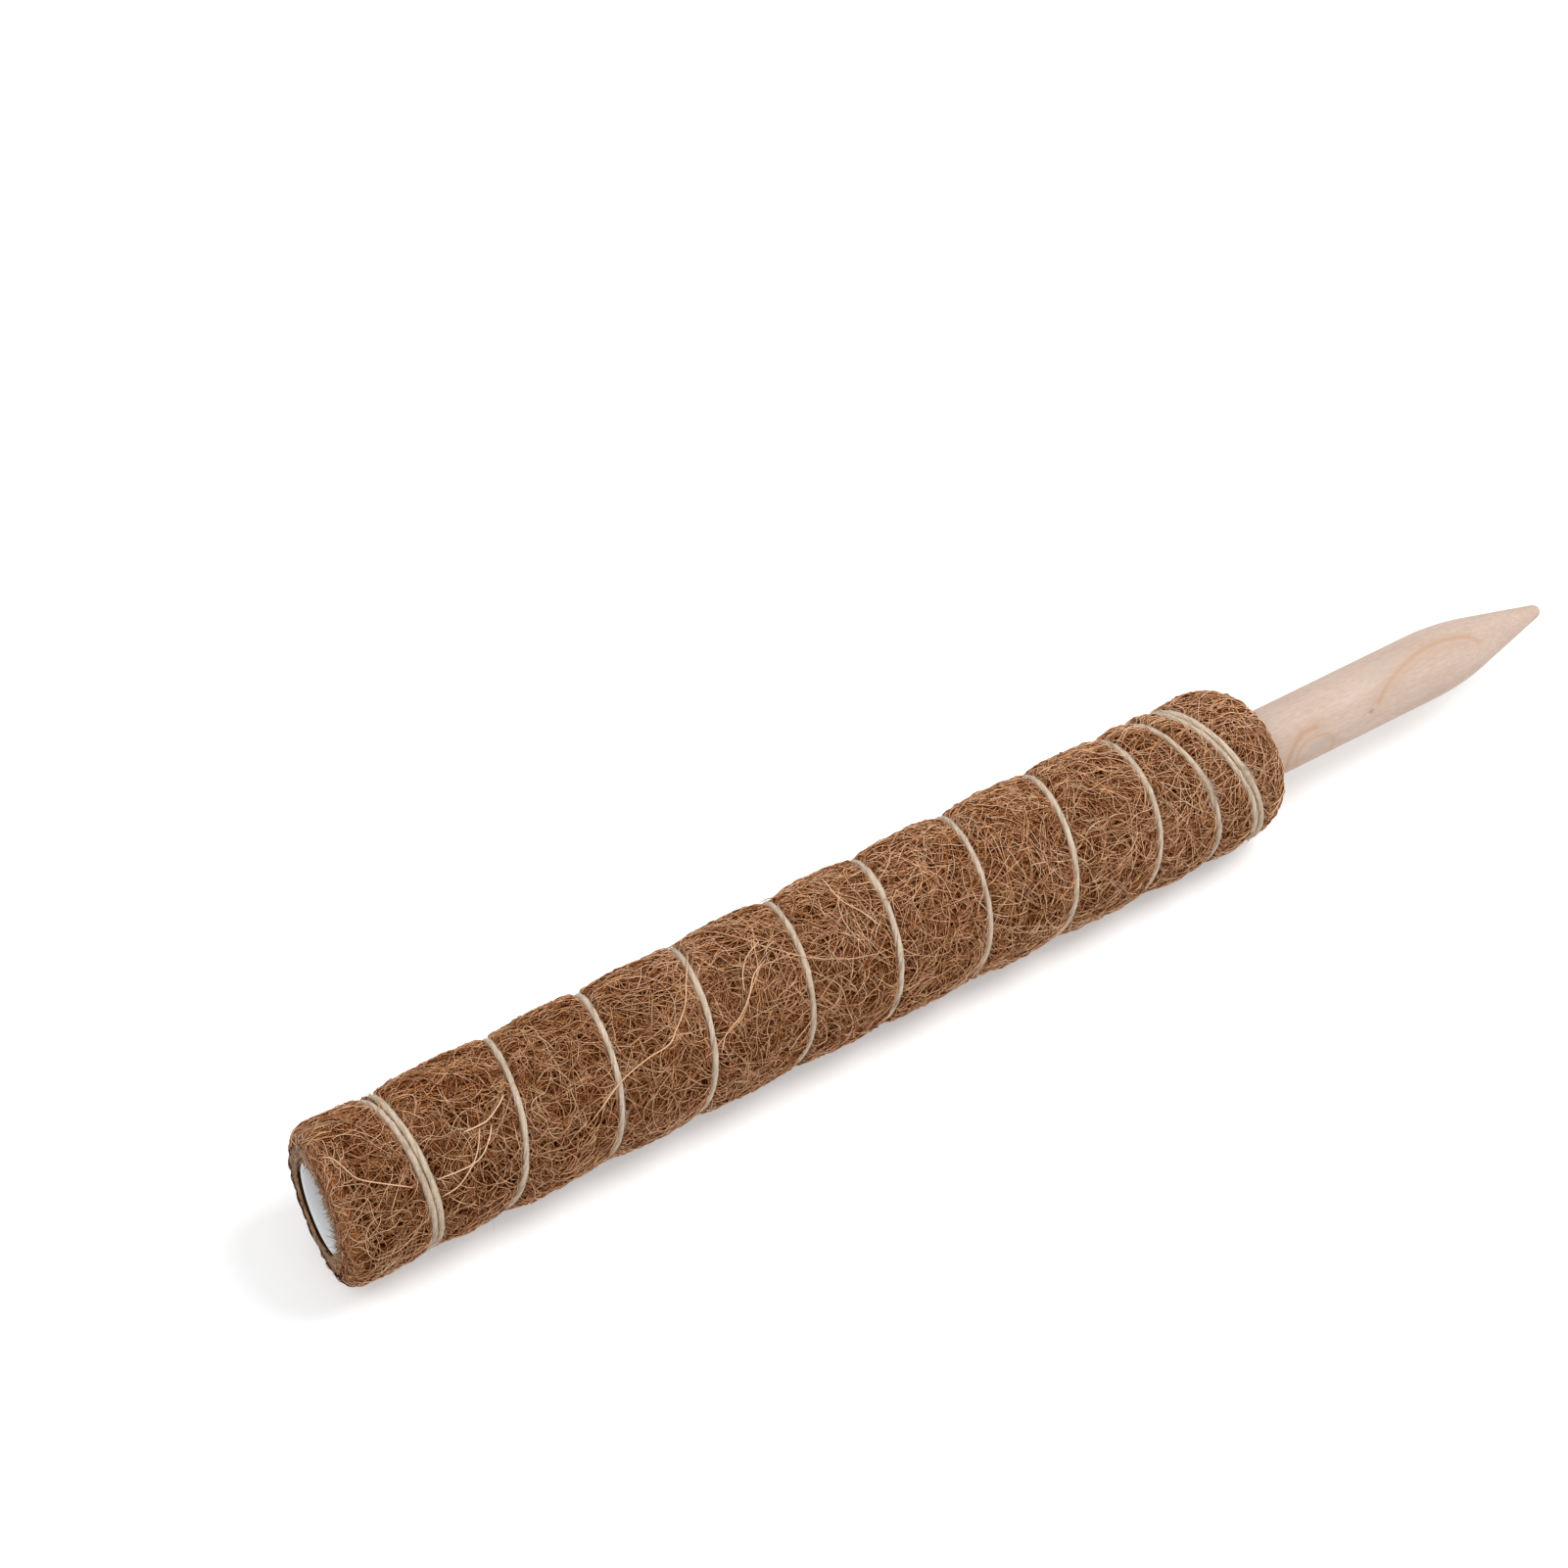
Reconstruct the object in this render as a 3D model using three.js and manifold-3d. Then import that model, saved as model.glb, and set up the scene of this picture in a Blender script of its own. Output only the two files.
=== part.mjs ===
// Moss pole: coir mat rolled on a plastic tube, bound with twine, on a pointed wooden stake.
// Millimetres, +Z up. The pole lies on the floor with its axis along X, stake to +X.

import * as THREE from 'three';
import { mergeVertices } from 'three/addons/utils/BufferGeometryUtils.js';
import Module from 'manifold-3d';

const wasm = await Module();
wasm.setup();

// Stake: a turned dowel with a rounded shoulder, a long cone and a blunt tip
const STAKE_D = 15;
const STAKE_OUT = 83;
const STAKE_SEAT = 60;
const POINT_SLOPE_DEG = 13;
const SHOULDER_ROUND = 7.8;
const TIP_FLAT_R = 1.25;
const TIP_ROUND = 1.7;
const STAKE_CHAMFER = 1.0;

// Core tube: plain thin-walled plastic pipe, the stake stands in its foot end
const BORE_GAP = 1.3;
const TUBE_WALL = 1.2;
const SAW_SKEW_DEG = 6.5;
const SAW_SKEW_AT_DEG = 180;

// Coir sleeve: a fibre mat, thicker toward the stake. Its rim closes in over the tube's open end
// and its foot grips the stake
const SEAT_GAP = 0.3;
const FOOT_HOLE_GAP = 0.4;
const COIR_LENGTH = 225.2;
const MAT_THICK_TOP = 5.8;
const MAT_THICK_FOOT = 6.9;
const OVERHANG_TOP = 1.0;
const OVERHANG_FOOT = 5.0;
const TOP_ROUND_AXIAL = 4.0;
const TOP_ROUND_RADIAL = 2.8;
const FOOT_ROUND_AXIAL = 8.5;
const FOOT_ROUND_RADIAL = 6.2;
const LIP_CHAMFER = 0.4;
const LIP_REACH = 0.9;
const REST_FLAT = 0.55;

// Twine: one length wound from the open end to the stake, tied over itself at both ends
const TWINE_D = 1.5;
const TWINE_SINK = 0.65;
const TWINE_GAP = 0.3;
const VALLEY_DEPTH = 0.9;
const VALLEY_REACH = 4.0;
const VALLEY_SHAPE = 1.2;
const NOTCH_SHAPE = 4;
const TIE_PITCH = 1.95;
const TOP_TIE_AT = 15.0;
const TOP_TIE_TURNS = 1.8;
const RUN_OUT = 20.9;
const RUN_OUT_TURNS = 0.75;
const TURN_SHARES = [0.96, 0.99, 1.07, 0.965, 1.015, 1.005, 0.995];
const CLOSING_PITCH = 12.6;
const CLOSING_RUN = 6.9;
const CLOSING_RUN_TURNS = 0.8;
const FOOT_TIE_TURNS = 1.65;
const FOOT_TIE_INSET = 11.4;
const MAIN_LEAN = 0.4;
const FOOT_LEAN = 4.4;
const LEAN_FROM_TURN = 9.3;
const LEAN_FULL_TURN = 11.0;
const LEAN_AXIS_DEG = 129;
const TIE_ANGLE_DEG = -30;
const HITCH_REACH = 3.95;
const PITCH_BLEND = 0.12;

// Facets
const TURN_STEPS = 24;
const TWINE_SIDES = 6;
const ROUND_SEGMENTS = 48;
const HITCH_STEPS = 14;
const END_ROWS = 4;

// Sizes that follow from the ones above
const RAD = Math.PI / 180;
const STAKE_R = STAKE_D / 2;
const TUBE_BORE_R = STAKE_R + BORE_GAP;
const TUBE_R = TUBE_BORE_R + TUBE_WALL;
const COIR_BORE_R = TUBE_R + SEAT_GAP;
const COIR_STAKE_HOLE_R = STAKE_R + FOOT_HOLE_GAP;
const TUBE_FOOT_AT = COIR_LENGTH - OVERHANG_FOOT;
const TWINE_R = TWINE_D / 2;
const GROOVE_DEPTH = TWINE_SINK + TWINE_D + TWINE_GAP;
const AXIS_HEIGHT = COIR_BORE_R + MAT_THICK_FOOT - REST_FLAT;
const MOUTH_R = COIR_BORE_R - LIP_REACH;
const NOTCH_NEAR = TWINE_D * 0.63;
const NOTCH_FAR = TWINE_D * 1.6;
const MAIN_FROM_TURN = TOP_TIE_TURNS + RUN_OUT_TURNS;
const FOOT_TIE_FROM_TURN = MAIN_FROM_TURN + TURN_SHARES.length + 1 + CLOSING_RUN_TURNS;
const TURNS = FOOT_TIE_FROM_TURN + FOOT_TIE_TURNS;
const STEPS = Math.round(TURNS * TURN_STEPS);

const lerp = THREE.MathUtils.lerp;
const smoothstep = THREE.MathUtils.smoothstep;

// The crest of the mat between two turns, at a distance from the open end
function crestRadius(at) {
  const share = THREE.MathUtils.clamp(at / COIR_LENGTH, 0, 1);
  return COIR_BORE_R + lerp(MAT_THICK_TOP, MAT_THICK_FOOT, share);
}

// How far a point in a sawn end plane moves along the axis
function sawShift(radius, angle) {
  return -radius * Math.tan(SAW_SKEW_DEG * RAD) * Math.cos(angle - SAW_SKEW_AT_DEG * RAD);
}

// Winding: turns run from the open end, clockwise as seen from the stake
function windAngle(turn) {
  return TIE_ANGLE_DEG * RAD - turn * 2 * Math.PI;
}

function stationTable() {
  const footTieEnd = COIR_LENGTH - FOOT_TIE_INSET;
  const footTieStart = footTieEnd - FOOT_TIE_TURNS * TIE_PITCH;
  const mainEnd = footTieStart - CLOSING_PITCH - CLOSING_RUN;
  const topTieEnd = TOP_TIE_AT + TOP_TIE_TURNS * TIE_PITCH;
  const mainStart = topTieEnd + RUN_OUT;
  const evenPitch = (mainEnd - mainStart) / TURN_SHARES.reduce((sum, share) => sum + share);
  const rows = [[0, TOP_TIE_AT], [TOP_TIE_TURNS, topTieEnd], [MAIN_FROM_TURN, mainStart]];
  TURN_SHARES.forEach((share, i) => {
    rows.push([MAIN_FROM_TURN + i + 1, rows[rows.length - 1][1] + share * evenPitch]);
  });
  rows.push([FOOT_TIE_FROM_TURN - CLOSING_RUN_TURNS, mainEnd + CLOSING_PITCH]);
  rows.push([FOOT_TIE_FROM_TURN, footTieStart]);
  rows.push([TURNS, footTieEnd]);
  return rows;
}

const STATIONS = stationTable();

function straightStation(turn) {
  let i = 1;
  while (i < STATIONS.length - 1 && turn > STATIONS[i][0]) i += 1;
  const [t0, s0] = STATIONS[i - 1];
  const [t1, s1] = STATIONS[i];
  return s0 + (s1 - s0) * (turn - t0) / (t1 - t0);
}

// Distance of the twine from the open end: even pitches, eased where they change, then leaning
function windStation(turn) {
  const before = straightStation(turn - PITCH_BLEND);
  const after = straightStation(turn + PITCH_BLEND);
  const eased = (before + 2 * straightStation(turn) + after) / 4;
  const lean = lerp(MAIN_LEAN, FOOT_LEAN, smoothstep(turn, LEAN_FROM_TURN, LEAN_FULL_TURN));
  return eased + lean * Math.sin(windAngle(turn) - LEAN_AXIS_DEG * RAD);
}

function windRadius(turn) {
  return crestRadius(windStation(turn)) - TWINE_SINK - TWINE_R;
}

// A point at an axial distance, a radius and an angle about the pole's axis
function onPole(at, radius, angle) {
  return new THREE.Vector3(at, radius * Math.cos(angle), AXIS_HEIGHT + radius * Math.sin(angle));
}

// Geometry helpers
function meshFrom(points, faces) {
  const geometry = new THREE.BufferGeometry();
  geometry.setAttribute('position', new THREE.Float32BufferAttribute(points.flatMap((p) => p.toArray()), 3));
  geometry.setIndex(faces.flat());
  let volume = 0;
  for (const [a, b, c] of faces) {
    volume += points[a].dot(points[b].clone().cross(points[c])) / 6;
  }
  if (volume < 0) geometry.setIndex(faces.map(([a, b, c]) => [a, c, b]).flat());
  return geometry;
}

function toSolid(geometry) {
  const bare = geometry.clone();
  bare.deleteAttribute('normal');
  bare.deleteAttribute('uv');
  const merged = mergeVertices(bare, 1e-4);
  const vertProperties = new Float32Array(merged.attributes.position.array);
  const triVerts = new Uint32Array(merged.index.array);
  return new wasm.Manifold(new wasm.Mesh({ numProp: 3, vertProperties, triVerts }));
}

function toGeometry(solid) {
  const mesh = solid.getMesh();
  const geometry = new THREE.BufferGeometry();
  geometry.setAttribute('position', new THREE.BufferAttribute(new Float32Array(mesh.vertProperties), 3));
  geometry.setIndex(Array.from(mesh.triVerts));
  return geometry;
}

// Triangles between two columns of point numbers that share no rows
function zip(points, left, right, faces) {
  let i = 0;
  let j = 0;
  while (i < left.length - 1 || j < right.length - 1) {
    const upLeft = i < left.length - 1 ? points[left[i + 1]].distanceTo(points[right[j]]) : Infinity;
    const upRight = j < right.length - 1 ? points[left[i]].distanceTo(points[right[j + 1]]) : Infinity;
    if (upLeft <= upRight) {
      faces.push([left[i], right[j], left[i + 1]]);
      i += 1;
    } else {
      faces.push([left[i], right[j], right[j + 1]]);
      j += 1;
    }
  }
}

// A piece turned about the X axis from a profile of radius against axial distance
function turned(profile, segments) {
  const geometry = new THREE.LatheGeometry(profile, segments);
  geometry.rotateZ(-Math.PI / 2);
  geometry.translate(0, 0, AXIS_HEIGHT);
  const bare = geometry;
  bare.deleteAttribute('normal');
  bare.deleteAttribute('uv');
  const merged = mergeVertices(bare, 1e-4);
  const position = merged.attributes.position;
  const points = [];
  for (let i = 0; i < position.count; i += 1) points.push(new THREE.Vector3().fromBufferAttribute(position, i));
  const faces = [];
  const index = merged.index.array;
  for (let i = 0; i < index.length; i += 3) {
    const face = [index[i], index[i + 1], index[i + 2]];
    if (new Set(face).size === 3) faces.push(face);
  }
  return meshFrom(points, faces);
}

// Wooden stake
function stakeGeometry() {
  const slope = Math.tan(POINT_SLOPE_DEG * RAD);
  const tipAt = COIR_LENGTH + STAKE_OUT;
  const innerAt = COIR_LENGTH - STAKE_SEAT;
  const cornerAt = tipAt - (STAKE_R - TIP_FLAT_R) / slope;
  const onCone = (at) => TIP_FLAT_R + (tipAt - at) * slope;
  const path = new THREE.Path();
  path.moveTo(0, innerAt);
  path.lineTo(STAKE_R - STAKE_CHAMFER, innerAt);
  path.lineTo(STAKE_R, innerAt + STAKE_CHAMFER);
  path.lineTo(STAKE_R, cornerAt - SHOULDER_ROUND);
  path.quadraticCurveTo(STAKE_R, cornerAt, onCone(cornerAt + SHOULDER_ROUND), cornerAt + SHOULDER_ROUND);
  path.lineTo(onCone(tipAt - TIP_ROUND), tipAt - TIP_ROUND);
  path.quadraticCurveTo(TIP_FLAT_R, tipAt, 0, tipAt);
  return turned(path.getPoints(7), ROUND_SEGMENTS / 2);
}

// Core tube, its open end sawn a little out of square
function tubeGeometry() {
  const spare = TUBE_R;
  const profile = [
    new THREE.Vector2(TUBE_BORE_R, OVERHANG_TOP - spare),
    new THREE.Vector2(TUBE_R, OVERHANG_TOP - spare),
    new THREE.Vector2(TUBE_R, TUBE_FOOT_AT),
    new THREE.Vector2(TUBE_BORE_R, TUBE_FOOT_AT),
    new THREE.Vector2(TUBE_BORE_R, OVERHANG_TOP - spare),
  ];
  const blank = toSolid(turned(profile, ROUND_SEGMENTS));
  const slope = Math.tan(SAW_SKEW_DEG * RAD);
  const side = SAW_SKEW_AT_DEG * RAD;
  const normal = new THREE.Vector3(1, slope * Math.cos(side), slope * Math.sin(side)).normalize();
  const offset = normal.dot(new THREE.Vector3(OVERHANG_TOP, 0, AXIS_HEIGHT));
  return toGeometry(blank.trimByPlane(normal.toArray(), offset));
}

// Twine route: tie, turns, tie
function hitchPoints(turn, ahead, reach) {
  const radius = windRadius(turn);
  const over = TWINE_D * 1.4;
  const way = TWINE_D * 2.8;
  const beside = (along, across, lift) => {
    const there = turn + ahead * along / (2 * Math.PI * radius);
    return onPole(windStation(there) + across, radius + lift, windAngle(there));
  };
  const steps = [
    [0, 0, 0], [0.36 * way, 0, 0.17 * over], [0.69 * way, 0.05 * reach, 0.52 * over],
    [0.93 * way, 0.24 * reach, 0.88 * over], [way, 0.48 * reach, over],
    [way, 0.76 * reach, 0.92 * over], [way, 0.95 * reach, 0.58 * over],
    [way, reach, 0.14 * over],
  ];
  const nodes = steps.map((step) => beside(...step));
  const curve = new THREE.CatmullRomCurve3(nodes, false, 'centripetal');
  const points = curve.getSpacedPoints(HITCH_STEPS).slice(1);
  const end = beside(way, reach, 0.14 * over - TWINE_D);
  points.push(points[points.length - 1].clone().lerp(end, 0.5), end);
  return points;
}

function windPoints() {
  const points = [];
  for (let i = 0; i <= STEPS; i += 1) {
    const turn = TURNS * i / STEPS;
    points.push(onPole(windStation(turn), windRadius(turn), windAngle(turn)));
  }
  return points;
}

const START_TIE = hitchPoints(0, -1, HITCH_REACH);
const END_TIE = hitchPoints(TURNS, 1, -HITCH_REACH);
const TWINE_ROUTE = [...START_TIE.slice().reverse(), ...windPoints(), ...END_TIE];

function leastGap(route, diameter) {
  let least = Infinity;
  for (let i = 0; i < route.length; i += 1) {
    let along = 0;
    for (let j = i + 1; j < route.length; j += 1) {
      along += route[j].distanceTo(route[j - 1]);
      if (along > 3 * diameter) least = Math.min(least, route[i].distanceTo(route[j]) - diameter);
    }
  }
  return least;
}

function twineGeometry() {
  const points = [];
  const faces = [];
  const tangent = TWINE_ROUTE.map((p, i) => {
    const next = TWINE_ROUTE[Math.min(i + 1, TWINE_ROUTE.length - 1)];
    const last = TWINE_ROUTE[Math.max(i - 1, 0)];
    return next.clone().sub(last).normalize();
  });
  let normal = new THREE.Vector3(1, 0, 0);
  TWINE_ROUTE.forEach((p, i) => {
    normal = normal.clone().addScaledVector(tangent[i], -normal.dot(tangent[i])).normalize();
    const binormal = tangent[i].clone().cross(normal);
    for (let k = 0; k < TWINE_SIDES; k += 1) {
      const a = k * 2 * Math.PI / TWINE_SIDES;
      const point = p.clone().addScaledVector(normal, TWINE_R * Math.cos(a));
      points.push(point.addScaledVector(binormal, TWINE_R * Math.sin(a)));
    }
  });
  for (let i = 0; i < TWINE_ROUTE.length - 1; i += 1) {
    for (let k = 0; k < TWINE_SIDES; k += 1) {
      const a = i * TWINE_SIDES + k;
      const b = i * TWINE_SIDES + (k + 1) % TWINE_SIDES;
      faces.push([a, b, b + TWINE_SIDES], [a, b + TWINE_SIDES, a + TWINE_SIDES]);
    }
  }
  const last = (TWINE_ROUTE.length - 1) * TWINE_SIDES;
  for (let k = 1; k < TWINE_SIDES - 1; k += 1) {
    faces.push([0, k + 1, k], [last, last + k, last + k + 1]);
  }
  return meshFrom(points, faces);
}

// Coir sleeve: rows follow the twine, which lies in a notch along a wide shallow valley
function puffedRadius(at, gapBelow, gapAbove) {
  const gap = Math.max(0, Math.min(gapBelow, gapAbove));
  const valley = VALLEY_DEPTH * Math.exp(-((gap / VALLEY_REACH) ** VALLEY_SHAPE));
  const notch = (GROOVE_DEPTH - VALLEY_DEPTH) * Math.exp(-((gap / TWINE_D) ** NOTCH_SHAPE));
  return crestRadius(at) - valley - notch;
}

function rowOffsets(width) {
  const near = Math.min(NOTCH_NEAR, width * 0.25);
  const far = Math.min(NOTCH_FAR, width * 0.4);
  return [0, near, far, width / 2, width - far, width - near];
}

function sleeveGeometry() {
  const points = [];
  const faces = [];
  const add = (at, radius, angle) => {
    const point = onPole(at, radius, angle);
    point.z = Math.max(point.z, 0);
    points.push(point);
    return points.length - 1;
  };
  const quad = (a, b, c, d) => faces.push([a, b, c], [a, c, d]);
  const turnOf = (j) => TURNS * j / STEPS;
  const angleOf = (j) => windAngle(turnOf(j));

  // Columns of point numbers over each step of the winding, from one turn to the next
  const strand = [];
  const strip = [];
  for (let j = 0; j <= STEPS; j += 1) {
    const at = windStation(turnOf(j));
    strand.push(add(at, crestRadius(at) - GROOVE_DEPTH, angleOf(j)));
  }
  for (let j = 0; j <= STEPS - TURN_STEPS; j += 1) {
    const from = windStation(turnOf(j));
    const width = windStation(turnOf(j + TURN_STEPS)) - from;
    const column = [strand[j]];
    rowOffsets(width).slice(1).forEach((offset) => {
      column.push(add(from + offset, puffedRadius(from + offset, offset, width - offset), angleOf(j)));
    });
    column.push(strand[j + TURN_STEPS]);
    strip.push(column);
  }
  for (let j = 0; j < STEPS - TURN_STEPS; j += 1) {
    for (let i = 0; i < strip[j].length - 1; i += 1) {
      quad(strip[j][i], strip[j + 1][i], strip[j + 1][i + 1], strip[j][i + 1]);
    }
  }

  // End bands, from the shoulder of each rounded end to the nearest turn
  const topBand = [];
  const footBand = [];
  for (let j = 0; j < TURN_STEPS; j += 1) {
    const angle = angleOf(j);
    const strandAt = windStation(turnOf(j));
    const crest = crestRadius(0);
    const shoulderAt = TOP_ROUND_AXIAL + sawShift(crest, angle);
    const column = [];
    const rows = [shoulderAt, (shoulderAt + strandAt - NOTCH_FAR) / 2, strandAt - NOTCH_FAR, strandAt - NOTCH_NEAR];
    rows.forEach((at) => column.push(add(at, puffedRadius(at, Infinity, strandAt - at), angle)));
    column.push(strand[j]);
    topBand.push(column);
  }
  for (let j = STEPS - TURN_STEPS + 1; j <= STEPS; j += 1) {
    const strandAt = windStation(turnOf(j));
    const shoulderAt = COIR_LENGTH - FOOT_ROUND_AXIAL + TWINE_D;
    const column = [strand[j]];
    const rows = [strandAt + NOTCH_NEAR, Math.max(shoulderAt, strandAt + NOTCH_FAR)];
    rows.forEach((at) => column.push(add(at, footRadius(at, at - strandAt), angleOf(j))));
    footBand.push(column);
  }
  for (let j = 0; j < TURN_STEPS - 1; j += 1) {
    zip(points, topBand[j], topBand[j + 1], faces);
    zip(points, footBand[j], footBand[j + 1], faces);
  }
  zip(points, topBand[TURN_STEPS - 1], [...topBand[0], ...strip[0].slice(1)], faces);
  const lastStrip = strip[STEPS - TURN_STEPS];
  zip(points, [...lastStrip, ...footBand[TURN_STEPS - 1].slice(1)], footBand[0], faces);

  // Rings that close the ends and line the bore
  const ringOf = (make) => Array.from({ length: TURN_STEPS }, (_, j) => make(angleOf(j)));
  const rings = [topBand.map((column) => column[0])];
  for (let i = 1; i <= END_ROWS; i += 1) {
    const a = (i / END_ROWS) * Math.PI / 2;
    const radius = crestRadius(0) - TOP_ROUND_RADIAL * (1 - Math.cos(a));
    const at = TOP_ROUND_AXIAL * (1 - Math.sin(a));
    rings.push(ringOf((angle) => add(at + sawShift(radius, angle), radius, angle)));
  }
  const lip = MOUTH_R + LIP_CHAMFER;
  const lipBackAt = OVERHANG_TOP - SEAT_GAP;
  rings.push(ringOf((angle) => add(sawShift(lip, angle), lip, angle)));
  rings.push(ringOf((angle) => add(LIP_CHAMFER + sawShift(MOUTH_R, angle), MOUTH_R, angle)));
  rings.push(ringOf((angle) => add(lipBackAt + sawShift(MOUTH_R, angle), MOUTH_R, angle)));
  rings.push(ringOf((angle) => add(lipBackAt + sawShift(COIR_BORE_R, angle), COIR_BORE_R, angle)));
  const stepAt = TUBE_FOOT_AT + SEAT_GAP;
  rings.push(ringOf((angle) => add(stepAt, COIR_BORE_R, angle)));
  rings.push(ringOf((angle) => add(stepAt, COIR_STAKE_HOLE_R, angle)));
  rings.push(ringOf((angle) => add(COIR_LENGTH, COIR_STAKE_HOLE_R, angle)));
  for (let i = END_ROWS; i >= 1; i -= 1) {
    const a = (i / (END_ROWS + 1)) * Math.PI / 2;
    const at = COIR_LENGTH - FOOT_ROUND_AXIAL * (1 - Math.sin(a));
    rings.push(ringOf((angle) => add(at, footRadius(at, Infinity), angle)));
  }
  const footRim = footBand.map((column) => column[2]);
  rings.push([footRim[TURN_STEPS - 1], ...footRim.slice(0, TURN_STEPS - 1)]);
  for (let i = 0; i < rings.length - 1; i += 1) {
    for (let j = 0; j < TURN_STEPS; j += 1) {
      const k = (j + 1) % TURN_STEPS;
      quad(rings[i][k], rings[i][j], rings[i + 1][j], rings[i + 1][k]);
    }
  }
  return meshFrom(points, faces);
}

// The foot end's rounding, with the last turn's groove in it
function footRadius(at, gap) {
  const share = THREE.MathUtils.clamp((at - COIR_LENGTH + FOOT_ROUND_AXIAL) / FOOT_ROUND_AXIAL, 0, 1);
  const rounded = FOOT_ROUND_RADIAL * (1 - Math.sqrt(1 - share * share));
  return puffedRadius(at, gap, Infinity) - rounded;
}

// Pockets in the mat for the tucked ends of the twine
function pocket(route) {
  const inner = route[route.length - 1];
  const outer = route[route.length - 3];
  const way = outer.clone().sub(inner).normalize();
  const radius = TWINE_R + TWINE_GAP;
  const length = inner.distanceTo(outer) + TWINE_D + TWINE_GAP;
  const geometry = new THREE.CylinderGeometry(radius, radius, length, 12);
  geometry.translate(0, length / 2 - TWINE_GAP, 0);
  geometry.applyQuaternion(new THREE.Quaternion().setFromUnitVectors(new THREE.Vector3(0, 1, 0), way));
  geometry.translate(...inner.toArray());
  return toSolid(geometry);
}

function sleeveWithPockets() {
  const sleeve = toSolid(sleeveGeometry());
  return toGeometry(sleeve.subtract(pocket(START_TIE)).subtract(pocket(END_TIE)));
}

// Assembly
function piece(name, geometry, colour, roughness) {
  const material = new THREE.MeshStandardMaterial({ color: colour, roughness, metalness: 0 });
  const mesh = new THREE.Mesh(geometry, material);
  mesh.name = name;
  return mesh;
}

const pole = new THREE.Group();
pole.add(piece('core_tube', tubeGeometry(), 0xe9ecef, 0.35));
pole.add(piece('coir_sleeve', sleeveWithPockets(), 0x8a5a34, 0.95));
pole.add(piece('twine', twineGeometry(), 0xd8cdb8, 0.9));
pole.add(piece('wooden_stake', stakeGeometry(), 0xdcbfa8, 0.6));

const box = new THREE.Box3().setFromObject(pole);
const middle = box.getCenter(new THREE.Vector3());
pole.position.set(-middle.x, -middle.y, -box.min.z);

console.log(`twine: least gap to itself ${leastGap(TWINE_ROUTE, TWINE_D).toFixed(2)} mm`);

export default pole;
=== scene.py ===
"""Looks of the moss pole: coir fibres, twisted twine, wooden stake and plastic tube on the CAD frame."""

import math

import bpy
import numpy as np
from mathutils import Matrix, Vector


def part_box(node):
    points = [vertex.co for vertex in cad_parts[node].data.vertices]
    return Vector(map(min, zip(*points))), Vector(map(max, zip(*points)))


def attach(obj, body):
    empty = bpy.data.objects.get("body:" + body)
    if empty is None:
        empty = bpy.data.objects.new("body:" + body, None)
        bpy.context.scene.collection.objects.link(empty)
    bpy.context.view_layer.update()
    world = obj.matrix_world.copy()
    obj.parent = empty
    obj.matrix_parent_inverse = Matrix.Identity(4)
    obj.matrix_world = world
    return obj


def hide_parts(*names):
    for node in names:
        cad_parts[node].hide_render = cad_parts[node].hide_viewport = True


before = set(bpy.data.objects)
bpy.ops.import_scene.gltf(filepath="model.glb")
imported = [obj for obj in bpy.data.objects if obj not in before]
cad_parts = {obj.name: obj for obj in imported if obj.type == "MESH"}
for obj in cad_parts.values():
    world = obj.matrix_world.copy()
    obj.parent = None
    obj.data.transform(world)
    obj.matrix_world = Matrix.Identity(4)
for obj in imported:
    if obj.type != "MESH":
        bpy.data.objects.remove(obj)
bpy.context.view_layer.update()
rng = np.random.default_rng(7)
FULL_TURN = 2 * math.pi

# Sizes shared with the CAD source, in millimetres
STAKE_R = 7.5
STAKE_END_AT = 308.2
STAKE_INNER_AT = 165.2
POINT_SLOPE = math.tan(math.radians(13.0))
SHOULDER_ROUND = 7.8
TIP_FLAT_R = 1.25
TIP_ROUND = 1.7
TUBE_BORE_R = 8.8
TUBE_R = 10.0
TUBE_FOOT_AT = 220.2
SAW_SLOPE = math.tan(math.radians(6.5))
SAW_SIDE = math.radians(180.0)
SAW_BLEND = (4, 14)
COIR_LENGTH = 225.2
COIR_BORE_R = 10.3
COIR_STAKE_HOLE_R = 7.9
MAT_THICK_TOP = 5.8
MAT_THICK_FOOT = 6.9
TOP_ROUND_AXIAL = 4.0
TOP_ROUND_RADIAL = 2.8
TWINE_R = 0.75
TWINE_SINK = 0.65
GROOVE_DEPTH = 2.45
VALLEY_DEPTH = 0.9
VALLEY_REACH = 4.0
VALLEY_SHAPE = 1.2
NOTCH_SHAPE = 4
TURNS = 13.0
TIE_ANGLE = math.radians(-30.0)
TOP_TIE_TO_TURN = 1.8
MAIN_FROM_TURN = 2.55
CLOSING_TURN = 10.55
FOOT_TIE_FROM_TURN = 11.35
MAIN_FROM_AT = 39.41
MAIN_TO_AT = 191.08
CLOSING_AT = 203.68
TURN_SHARES = [0.96, 0.99, 1.07, 0.965, 1.015, 1.005, 0.995]
PITCH_BLEND = 0.12
MAIN_LEAN = 0.4
FOOT_LEAN = 4.4
LEAN_TURNS = (9.3, 11.0)
LEAN_AXIS = math.radians(129.0)
HITCH_REACH = 3.95

# The fibres close in on the twine and its ties close up, a little more than in the CAD source
NOTCH_REACH = 0.85
TOP_TIE = (15.47, 18.17)
FOOT_TIE = (210.83, 213.47)

# The soft foot is a little rounder than in the CAD source
FOOT_ROUND_AXIAL = 11.5
FOOT_ROUND_RADIAL = 6.9

# The soft lip draws back a little and shows more of the pipe's end than in the CAD source
TUBE_TOP_AT = 0.5
MOUTH_R = 9.75
LIP_BACK_AT = 0.35
LIP_CHAMFER = 0.3

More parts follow.
